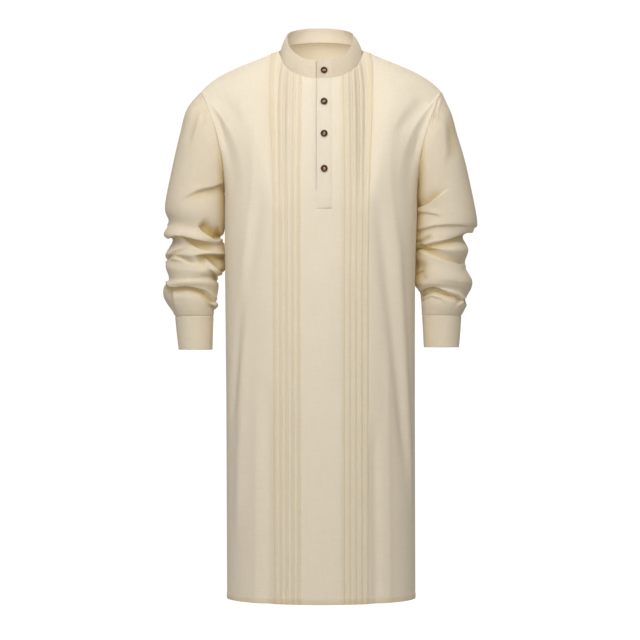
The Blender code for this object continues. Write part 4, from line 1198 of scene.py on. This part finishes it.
LEFT_CREASES = (
    Crease(((241, -78), (235, -104), (231, -128), (231, -146)), Over.LOWER, lip=2.0, depth=3.0, sharp=3.5,
           top_width=6, low_width=5, fade_in=0.1, fade_out=0.4),
    Crease(((249, -108), (257, -147), (259, -190), (246, -234)), lip=1.0, depth=3.2, sharp=18.0,
           top_width=14, low_width=14, fade_in=0.3, fade_out=0.5),
    Crease(((194, -304), (216, -298), (230, -287), (248, -274), (266, -264)), Over.LOWER,
           lip=2.0, depth=5.0, sharp=3.5, top_width=9, low_width=12, fade_in=0.02, fade_out=0.55),
    Crease(((196, -312), (218, -315), (235, -319), (256, -326)),
           lip=1.5, depth=1.5, sharp=6.0, top_width=8, low_width=10, fade_in=0.05, fade_out=0.5),
    Crease(((194, -350), (230, -342), (255, -340), (285, -340), (320, -344)),
           lip=1.5, depth=2.5, sharp=5.0, top_width=10, low_width=12, fade_in=0.02, fade_out=0.3),
    Crease(((192, -383), (218, -378), (243, -373), (267, -366), (290, -356), (316, -352)),
           lip=3.0, depth=4.5, sharp=3.0, top_width=10, low_width=16, fade_in=0.02, fade_out=0.05),
    Crease(((194, -374), (210, -366), (226, -355)),
           lip=0.0, depth=5.0, sharp=8.0, top_width=8, low_width=8, fade_in=0.02, fade_out=0.5),
    Crease(((192, -385), (218, -398), (243, -408), (267, -416), (296, -421)), Over.LOWER,
           lip=2.5, depth=4.0, sharp=3.0, top_width=10, low_width=10, fade_in=0.02, fade_out=0.08),
    Crease(((190, -412), (210, -416), (228, -426)),
           lip=0.0, depth=4.5, sharp=18.0, top_width=12, low_width=16, fade_in=0.02, fade_out=0.6),
    Crease(((192, -436), (200, -450), (208, -464)),
           lip=0.0, depth=3.0, sharp=14.0, top_width=8, low_width=9, fade_in=0.1, fade_out=0.4),
    Crease(((194, -480), (213, -468), (230, -464), (245, -471), (262, -478), (280, -484), (290, -492),
            (299, -504)),
           lip=3.0, depth=5.0, sharp=3.0, top_width=12, low_width=10, fade_in=0.02, fade_out=0.03),
    Crease(((196, -486), (218, -474), (230, -472), (253, -478), (275, -484)),
           lip=1.5, depth=2.5, sharp=2.5, top_width=4, low_width=8, fade_in=0.02, fade_out=0.2),
    Crease(((200, -494), (223, -484), (243, -489), (260, -501)),
           lip=1.0, depth=1.5, sharp=3.0, top_width=5, low_width=8, fade_in=0.05, fade_out=0.4),
)
HIDDEN_CREASES = (
    Crease(((200, -262), (226, -272), (252, -290)), lip=2, depth=4, sharp=5, top_width=13, low_width=15,
           fade_in=0.02, fade_out=0.6, behind=True),
    Crease(((320, -338), (286, -352), (250, -350), (214, -358)), lip=3, depth=5, sharp=4,
           top_width=13, low_width=12, fade_in=0.05, fade_out=0.3, behind=True),
    Crease(((198, -372), (232, -380), (268, -394), (300, -398)), Over.LOWER, lip=2.5, depth=5, sharp=3.5,
           top_width=10, low_width=11, fade_in=0.03, fade_out=0.3, behind=True),
    Crease(((322, -420), (290, -428), (256, -424), (228, -430)), lip=2.5, depth=4.5, sharp=3.5,
           top_width=11, low_width=11, fade_in=0.05, fade_out=0.3, behind=True),
    Crease(((204, -448), (232, -456), (262, -474), (294, -484)), lip=3, depth=5, sharp=3,
           top_width=12, low_width=12, fade_in=0.05, fade_out=0.2, behind=True),
    Crease(((300, -492), (270, -500), (240, -498)), lip=1.5, depth=2.5, sharp=3,
           top_width=7, low_width=9, fade_in=0.2, fade_out=0.4, behind=True),
)


@dataclass(frozen=True)
class CuffSizes:
    """A cuff's lower edge: its outer and inner sides, its height, its front and its back."""

    out_x: float
    in_x: float
    z: float
    front_y: float = -0.0095
    back_y: float = 0.0615


RIGHT_CUFF = CuffSizes(out_x=0.2937, in_x=0.2237, z=-0.5941)
LEFT_CUFF = CuffSizes(out_x=0.2839, in_x=0.2111, z=-0.5891)


@dataclass
class Sleeve:
    """One sleeve, pushed into folds above its cuff, with the cuff and its lap."""

    arm: Arm
    rings: tuple[Ring, ...]
    creases: tuple[Crease, ...]
    cuff: CuffSizes
    finishes: Finishes
    form: BodyForm = BodyForm()
    wall: float = 0.6 * MM
    cuff_wall: float = 1.5 * MM
    columns: int = 190
    rows_per_ring: int = 15
    crease_gain: float = 1.25
    # The creases die out over these distances from the seams.
    cap_clear: float = 9 * MM
    cuff_clear: float = 8 * MM
    cap_gather: float = 0.3 * MM
    cap_gathers: int = 46
    cap_reach: float = 26 * MM
    cap_span: float = 1.1
    cuff_gather: float = 0.25 * MM
    cuff_gathers: int = 34
    cuff_reach: float = 14 * MM
    seam_dip: float = 1.0 * MM
    seam_width: float = 2.0 * MM
    tuck_in: float = 4.0 * MM
    # Painted golden shade deep in the creases, for the shade and bounced light in them, from this depth on.
    pocket_start: float = 0.8 * MM
    pocket_depth: float = 7.5 * MM
    crease_painted_shade: float = 0.95
    # Beside the body the sleeve is painted golden and darker: painted bounce light and shade from the body.
    beside_painted_shade: float = 0.80
    beside_reach: float = 18 * MM
    beside_top: float = -0.13
    beside_low: float = -0.475
    beside_fade: float = 40 * MM
    beside_low_fade: float = 30 * MM
    lap_turn: float = 240.0
    lap_span: float = 30.0
    lap_lift: float = 1.8 * MM
    cuff_ripple: float = 0.35 * MM
    body_gap: float = 0.6 * MM
    sewing: Sewing = field(default_factory=Sewing)

    @property
    def name(self) -> str:
        """The arm's name in piece names."""
        return self.arm.name.lower()

    @property
    def axis(self) -> tuple[float, float]:
        """Middle of the sleeve's lower end."""
        last = self.rings[-1]
        return ((last.out_x + last.in_x) / 2 * self.arm.value, (last.front_y + last.back_y) / 2)

    def armhole_ring(self) -> Ring:
        """Return the armhole stated as the sleeve's first ring."""
        form = self.form
        front = form.armhole_point(math.pi / 2)
        back = form.armhole_point(-math.pi / 2)
        return Ring(form.tip[0], form.tip[2], form.pit[0], form.pit[2], front[2], front[1], back[1], 1.0)

    @staticmethod
    def ring_points(sizes: np.ndarray, turn: np.ndarray) -> np.ndarray:
        """Return points of rings, turning from the outer side (0) over the front to the inner side (pi)."""
        out_x, out_z, in_x, in_z, front_z, front_y, back_y = (sizes[:, i:i + 1] for i in range(7))
        middle_z = (out_z + in_z) / 2
        x = (out_x + in_x) / 2 + (out_x - in_x) / 2 * np.cos(turn)
        y = (front_y + back_y) / 2 - (back_y - front_y) / 2 * np.sin(turn)
        z = middle_z + (out_z - in_z) / 2 * np.cos(turn) + (front_z - middle_z) * np.sin(turn)
        return stack(x, y, z)

    def ring_sizes(self) -> np.ndarray:
        """Return the sizes of all the rings, smoothly in-between the rows of the table."""
        table = np.array([self.armhole_ring().values(), *(ring.values() for ring in self.rings)])
        number = (len(table) - 1) * self.rows_per_ring
        lengths = np.linalg.norm(np.diff(table[:, :4], axis=0), axis=1)
        gone = np.concatenate([[0], np.cumsum(lengths)])
        place = np.interp(np.linspace(0, gone[-1], number + 1), gone, np.arange(len(table)))
        start = np.minimum(place.astype(int), len(table) - 2)
        share = (place - start)[:, None]
        before, first, second, after = (table[np.clip(start + step, 0, len(table) - 1)]
                                        for step in (-1, 0, 1, 2))
        bend = first * 2 + (second - before) * share
        bend += (before * 2 - first * 5 + second * 4 - after) * share ** 2
        bend += (first * 3 - before - second * 3 + after) * share ** 3
        return bend / 2

    def build_sleeve(self) -> bpy.types.Object:
        """Make the sleeve, with its gathers, creases and seams."""
        turn = np.linspace(0.0, 2 * math.pi, self.columns, endpoint=False)
        sizes = self.ring_sizes()
        points = self.ring_points(sizes, turn[None, :])
        signed = np.where(turn <= math.pi, turn, turn - 2 * math.pi)
        stray = self.form.armhole_point(signed) - points[0]
        points = points + stray[None] * np.maximum(sizes[:, 7], 0.0)[:, None, None]
        measured = points.copy()
        points[..., 0] *= self.arm.value
        sheet = Sheet(points, self.axis, closed=True)
        in_front = soft_step((np.sin(turn) + 0.25) / 0.5)[None, :]
        heights = np.zeros(points.shape[:2])
        for crease in (*self.creases, *HIDDEN_CREASES):
            part = crease.heights(measured[..., 0], measured[..., 2])
            heights += part * ((1.0 - in_front) if crease.behind else in_front)
        from_cap = np.linalg.norm(points - points[:1], axis=-1)
        to_cuff = np.linalg.norm(points - points[-1:], axis=-1)
        heights *= self.crease_gain * soft_step(from_cap / self.cap_clear) \
            * soft_step(to_cuff / self.cuff_clear)
        # Painted golden shade in the deep creases and beside the body.
        painted_shade_share = self.painted_shade_share(heights, measured[..., 0], measured[..., 2])
        heights += self.gathers(turn, from_cap, to_cuff)
        heights -= self.seam_dip * (hump(from_cap, self.seam_width) + hump(to_cuff, self.seam_width))
        shaped = sheet.raised(heights)
        self.rest_on_body(shaped.points)
        # The last row goes on down between the layers of the cuff.
        inside = shaped.points[-1:] - np.array([0.0, 0.0, self.tuck_in])
        whole = Sheet(np.concatenate([shaped.points, inside]), self.axis, closed=True)
        painted_shade_share = np.concatenate([painted_shade_share, painted_shade_share[-1:]])
        return whole.make(f"sleeve_{self.name}_cloth", self.wall, self.finishes.sleeve, painted_shade=painted_shade_share)

    def painted_shade_share(self, heights: np.ndarray, x: np.ndarray, z: np.ndarray) -> np.ndarray:
        """Return the share of painted golden shade: shade and bounced light deep in the creases and beside
        the body.

        Args:
            heights: how far the creases move each point outwards.
            x: distances outwards from the middle plane.
            z: heights.

        Returns:
            Shares from 0 to 1.
        """
        pockets = self.crease_painted_shade * soft_step((-heights - self.pocket_start) / self.pocket_depth)
        beside = soft_step((self.form.chest_half + self.beside_reach - x) / self.beside_reach)
        level = soft_step((self.beside_top - z) / self.beside_fade)
        level = level * soft_step((z - self.beside_low) / self.beside_low_fade)
        return np.maximum(pockets, self.beside_painted_shade * beside * level)

    def gathers(self, turn: np.ndarray, from_cap: np.ndarray, to_cuff: np.ndarray) -> np.ndarray:
        """Return the small gathers at the sleeve's head and above its cuff.

        Args:
            turn: the turn of each column round the sleeve.
            from_cap: each point's distance from the armhole's seam.
            to_cuff: each point's distance from the cuff's seam.

        Returns:
            Heights in metres.
        """
        head = hump(np.minimum(turn, 2 * math.pi - turn), self.cap_span) * np.sin(turn * self.cap_gathers)
        cap = self.cap_gather * head * hump(from_cap, self.cap_reach) * soft_step(from_cap / (3 * MM))
        wrist = np.sin(turn * self.cuff_gathers + 2 * np.sin(turn * 3))
        cuff = self.cuff_gather * wrist * hump(to_cuff, self.cuff_reach) * soft_step(to_cuff / (2 * MM))
        return cap + cuff

    def rest_on_body(self, points: np.ndarray) -> None:
        """Press the sleeve flat where it would reach into the body's side, below the armhole."""
        form = self.form
        x, y, z = (points[..., axis] for axis in range(3))
        half = form.half_width(z, self.arm)
        depth = np.where(y < 0, np.interp(z, form.section_z, form.front_depths),
                         np.interp(z, form.section_z, form.back_depths))
        side = half * np.sqrt(np.clip(1.0 - np.square(y / depth), 0.0, 1.0)) + self.body_gap
        side = np.where(z < form.pit[2] - 3 * MM, side, 0.0)
        points[..., 0] = self.arm.value * np.maximum(np.abs(x), side)

    def build_cuff(self) -> bpy.types.Object:
        """Make the cuff as a band whose lap lies over its other end, on the side that faces back."""
        span = 2 * math.pi + math.radians(self.lap_span)
        start = math.radians(self.lap_turn)
        step = np.concatenate([[0.0, 0.012, 0.05, 0.09], spaced(0.09, span, 0.045), [span]])
        turn = start + step
        seam_sizes = np.array([self.rings[-1].values()])
        cuff = self.cuff
        low_sizes = np.array([Ring(cuff.out_x, cuff.z, cuff.in_x, cuff.z, cuff.z, cuff.front_y,
                                   cuff.back_y).values()])
        seam = self.ring_points(seam_sizes, turn[None, :])[0]
        low = self.ring_points(low_sizes, turn[None, :])[0]
        inset = np.array([0.0, 0.012, 0.03, 0.075, 0.12])
        share = np.concatenate([inset, spaced(0.12, 0.93, 0.07), [0.93, 0.96, 0.985, 1.0]])
        points = mix(low[None], seam[None], share[:, None, None])
        points[..., 0] *= self.arm.value
        level = points - np.array([*self.axis, 0.0])
        level[..., 2] = 0.0
        lift = self.lap_lift * soft_step(3.0 - step / math.radians(15))
        points += unit(level) * lift[None, :, None]
        sheet = Sheet(points, self.axis)
        dips = -BAND_PULL * (hump(share - 0.075, 0.02) + hump(share - 0.965, 0.02))
        edges = -BAND_ROUND * (hump(share, 0.012) + hump(share - 1.0, 0.012))
        wave = self.cuff_ripple * np.sin(turn * 5 + 1.0)[None, :] * np.sin(math.pi * share)[:, None]
        band = sheet.raised((dips + edges)[:, None] + wave)
        for row in (3, len(share) - 3):
            self.sewing.on_sheet(band, row, slice(2, -1))
        self.sewing.on_sheet(band, slice(3, -2), 2)
        return band.make(f"cuff_{self.name}_cloth", self.cuff_wall, self.finishes.sleeve)


@dataclass
class Buttons:
    """Four-hole buttons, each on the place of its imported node, sewn on with crossed thread."""

    finishes: Finishes
    radius: float = 7.0 * MM
    hole_radius: float = 0.75 * MM
    hole_place: float = 1.45 * MM
    thread_radius: float = 0.32 * MM
    # The amber middle is a bar, this many times longer than it is wide.
    bar_narrowing: float = 1.7
    sides: int = 48
    spin: float = math.radians(17)
    shank_height: float = 1.2 * MM

    def profile(self) -> list[tuple[float, float]]:
        """Return the turned section from the middle of the top to the middle of the underside."""
        rim = 1.2 * MM
        return [
            (0.0, 1.55 * MM), (3.6 * MM, 1.6 * MM), (4.5 * MM, 1.8 * MM), (self.radius - rim, 2.5 * MM),
            (self.radius - 0.7 * rim, 2.6 * MM), (self.radius - 0.3 * rim, 2.45 * MM),
            (self.radius, 1.7 * MM), (self.radius - 0.2 * rim, 1.0 * MM), (self.radius - rim, 0.3 * MM),
            (4.0 * MM, 0.1 * MM), (0.0, 0.0),
        ]

    def disc(self) -> bpy.types.Object:
        """Return the pierced disc at the origin, facing +Z."""
        work = bmesh.new()
        verts = [work.verts.new((radius, 0.0, height)) for radius, height in self.profile()]
        edges = [work.edges.new(pair) for pair in zip(verts, verts[1:])]
        bmesh.ops.spin(work, geom=verts + edges, axis=(0, 0, 1), cent=(0, 0, 0), angle=2 * math.pi,
                       steps=self.sides, use_merge=True)
        bmesh.ops.remove_doubles(work, verts=work.verts[:], dist=WELD_DISTANCE)
        bmesh.ops.recalc_face_normals(work, faces=work.faces[:])
        disc = to_object(work, "button_blank", self.finishes.resin)
        drill = bmesh.new()
        for across, up in ((-1, -1), (-1, 1), (1, -1), (1, 1)):
            place = Matrix.Translation((across * self.hole_place, up * self.hole_place, 0.0))
            bmesh.ops.create_cone(drill, cap_ends=True, segments=16, radius1=self.hole_radius,
                                  radius2=self.hole_radius, depth=12 * MM, matrix=place)
        cutter = to_object(drill, "button_drill", self.finishes.resin)
        cut = disc.modifiers.new("holes", "BOOLEAN")
        cut.operation = "DIFFERENCE"
        cut.solver = "EXACT"
        cut.object = cutter
        graph = bpy.context.evaluated_depsgraph_get()
        mesh = bpy.data.meshes.new_from_object(disc.evaluated_get(graph))
        for spare in (disc, cutter):
            bpy.data.objects.remove(spare, do_unlink=True)
        pierced = bpy.data.objects.new("button_blank", mesh)
        bpy.context.scene.collection.objects.link(pierced)
        mesh.shade_smooth()
        mesh.set_sharp_from_angle(angle=math.radians(50))
        return pierced

    def place(self, node: bpy.types.Object) -> Matrix:
        """Return the place and turn of a button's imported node, worked out from its mesh."""
        points = np.array([vert.co for vert in node.data.vertices])
        middle = points.mean(axis=0)
        _, _, directions = np.linalg.svd(points - middle, full_matrices=False)
        facing = Vector(directions[2])
        if facing.y > 0 and middle[1] < 0.0 or facing.y < 0 and middle[1] > 0.0:
            facing = -facing
        lowest = ((points - middle) @ np.array(facing)).min()
        base = Vector(middle) + facing * float(lowest)
        side = Vector((0.0, 0.0, 1.0)).cross(facing).normalized()
        up = facing.cross(side)
        turn = Matrix((side, up, facing)).transposed().to_4x4()
        return Matrix.Translation(base) @ turn

    def build(self, nodes: dict[str, bpy.types.Object]) -> list[tuple[bpy.types.Object, str]]:
        """Make every button with its thread, and return each piece with its node's name."""
        blank = self.disc()
        made = []
        for name in sorted(nodes):
            if "button" not in name:
                continue
            place = self.place(nodes[name])
            work = bmesh.new()
            work.from_mesh(blank.data)
            layer = work.verts.layers.float.new(RADIAL)
            for vert in work.verts:
                vert[layer] = math.hypot(vert.co.x, vert.co.y * self.bar_narrowing) / self.radius
            spin = Matrix.Rotation(self.spin * len(made), 4, "Z")
            bmesh.ops.transform(work, matrix=place @ spin, verts=work.verts[:])
            piece = to_object(work, f"{name}_resin", self.finishes.resin)
            piece.data.set_sharp_from_angle(angle=math.radians(50))
            made.append((piece, name))
            made.append((self.thread(name, place @ spin), ""))
        bpy.data.objects.remove(blank, do_unlink=True)
        return made

    def thread(self, name: str, place: Matrix) -> bpy.types.Object:
        """Make the thread that crosses between the holes, and the shank beneath."""
        work = bmesh.new()
        reach = self.hole_place * math.sqrt(2)
        for index, angle in enumerate((45, -45)):
            for shift in (-1.1, 0.0, 1.1):
                size = Matrix.Diagonal((reach + 0.3 * MM, self.thread_radius, self.thread_radius, 1.0))
                turn = Matrix.Rotation(math.radians(angle), 4, "Z")
                rise = (1.75 + 0.28 * index) * MM
                seat = Matrix.Translation((0.0, shift * self.thread_radius, rise))
                bmesh.ops.create_uvsphere(work, u_segments=10, v_segments=8, radius=1.0,
                                          matrix=turn @ seat @ size)
        bmesh.ops.create_cone(work, cap_ends=True, segments=12, radius1=1.6 * MM, radius2=1.4 * MM,
                              depth=self.shank_height, matrix=Matrix.Translation((0.0, 0.0, -0.5 * MM)))
        bmesh.ops.transform(work, matrix=place, verts=work.verts[:])
        return to_object(work, f"{name}_thread", self.finishes.button_thread)


# The studio


@dataclass(frozen=True)
class SoftBox:
    """A square soft light that faces a point."""

    name: str
    place: tuple[float, float, float]
    aim: tuple[float, float, float]
    size: float
    power: float

    def build(self) -> None:
        """Add the light."""
        data = bpy.data.lights.new(self.name, "AREA")
        data.size = self.size
        data.energy = self.power
        light = bpy.data.objects.new(self.name, data)
        light.location = self.place
        light.rotation_euler = (Vector(self.aim) - Vector(self.place)).to_track_quat("-Z", "Y").to_euler()
        bpy.context.scene.collection.objects.link(light)


SOFT_BOXES = (
    SoftBox("key", place=(-0.2, -1.8, 1.25), aim=(0.0, 0.0, -0.2), size=1.3, power=38.0),
    SoftBox("fill", place=(-0.5, -3.2, -0.3), aim=(0.0, 0.0, -0.35), size=2.2, power=26.0),
    SoftBox("back", place=(0.2, 2.2, 1.1), aim=(0.0, 0.0, -0.1), size=1.6, power=72.0),
)


@dataclass(frozen=True)
class Studio:
    """Camera, lights and floor, as in a packshot on white."""

    camera_place: tuple[float, float, float] = (-0.0025, -5.3, -0.533)
    field_width: float = 1.312
    sensor: float = 36.0
    floor_z: float = -1.262
    floor_radius: float = 0.62
    floor_middle_y: float = -0.18
    floor_depth: float = 0.02
    world_light: float = 0.36
    world_seen: float = 1.05

    def build(self) -> None:
        """Set up the whole studio."""
        self.add_camera()
        self.add_world()
        self.add_floor()
        for box in SOFT_BOXES:
            box.build()
        bpy.context.scene.view_settings.view_transform = "Standard"

    def add_camera(self) -> None:
        """Place the camera level, at the distance that the hem's sag gives."""
        data = bpy.data.cameras.new("camera")
        data.sensor_width = self.sensor
        data.lens = self.sensor * abs(self.camera_place[1]) / self.field_width
        camera = bpy.data.objects.new("camera", data)
        camera.location = self.camera_place
        camera.rotation_euler = (math.pi / 2, 0.0, 0.0)
        bpy.context.scene.collection.objects.link(camera)
        bpy.context.scene.camera = camera

    def add_world(self) -> None:
        """Surround the robe with white, dimmer as light than it looks behind it."""
        world = bpy.data.worlds.new("studio")
        world.use_nodes = True
        bpy.context.scene.world = world
        nodes = world.node_tree.nodes
        links = world.node_tree.links
        background = nodes["Background"]
        background.inputs["Color"].default_value = (1.0, 1.0, 1.0, 1.0)
        path = nodes.new("ShaderNodeLightPath")
        strength = nodes.new("ShaderNodeMapRange")
        strength.inputs["To Min"].default_value = self.world_light
        strength.inputs["To Max"].default_value = self.world_seen
        links.new(path.outputs["Is Camera Ray"], strength.inputs["Value"])
        links.new(strength.outputs["Result"], background.inputs["Strength"])

    def add_floor(self) -> None:
        """Lay a round pale floor a little below the hem."""
        work = bmesh.new()
        middle = Matrix.Translation((0.0, self.floor_middle_y, self.floor_z - self.floor_depth / 2))
        bmesh.ops.create_cone(work, cap_ends=True, segments=96, radius1=self.floor_radius,
                              radius2=self.floor_radius, depth=self.floor_depth, matrix=middle)
        to_object(work, "floor", StudioFloor().make())


def settle(piece: bpy.types.Object, slot: str, *nodes: str) -> bpy.types.Object:
    """Let a piece ride on the body and stand for its nodes, whose imported parts it hides."""
    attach(piece, BODY)
    if nodes:
        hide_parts(*nodes)
    LOG.info("%s: %d faces", piece.name, len(piece.data.polygons))
    return piece


def main() -> None:
    """Build the robe's pieces in order and the studio round them."""
    logging.basicConfig(level=logging.INFO, format="%(asctime)s %(message)s")
    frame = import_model()
    finishes = Finishes()
    body = BodyCloth(finishes)
    front = settle(body.build_front(), "body_linen", "front")
    back = settle(body.build_back(), "body_linen", "back")
    over, under = body.build_strips()
    settle(over, "body_linen", "placket_over")
    settle(under, "body_linen", "placket_under")
    stitches = settle(body.sewing.make("body_stitches", finishes.thread), "body_linen")
    collar = Collar(finishes)
    band = settle(collar.build(), "collar_linen", "collar_stand")
    band_stitches = settle(collar.sewing.make("collar_stitches", finishes.thread), "collar_linen")
    sleeves = (
        Sleeve(Arm.RIGHT, RIGHT_RINGS, RIGHT_CREASES, RIGHT_CUFF, finishes),
        Sleeve(Arm.LEFT, LEFT_RINGS, LEFT_CREASES, LEFT_CUFF, finishes),
    )
    for sleeve in sleeves:
        tube = settle(sleeve.build_sleeve(), "sleeve_linen", f"sleeve_{sleeve.name}")
        cuff = settle(sleeve.build_cuff(), "sleeve_linen", f"cuff_{sleeve.name}")
        sewn = settle(sleeve.sewing.make(f"cuff_{sleeve.name}_stitches", finishes.thread), "sleeve_linen")
        f"sleeve_{sleeve.name}"
    for piece, node in Buttons(finishes).build(frame["nodes"]):
        settle(piece, "tortoise", *([node] if node else []))
    Studio().build()


if __name__ == "__main__":
    main()
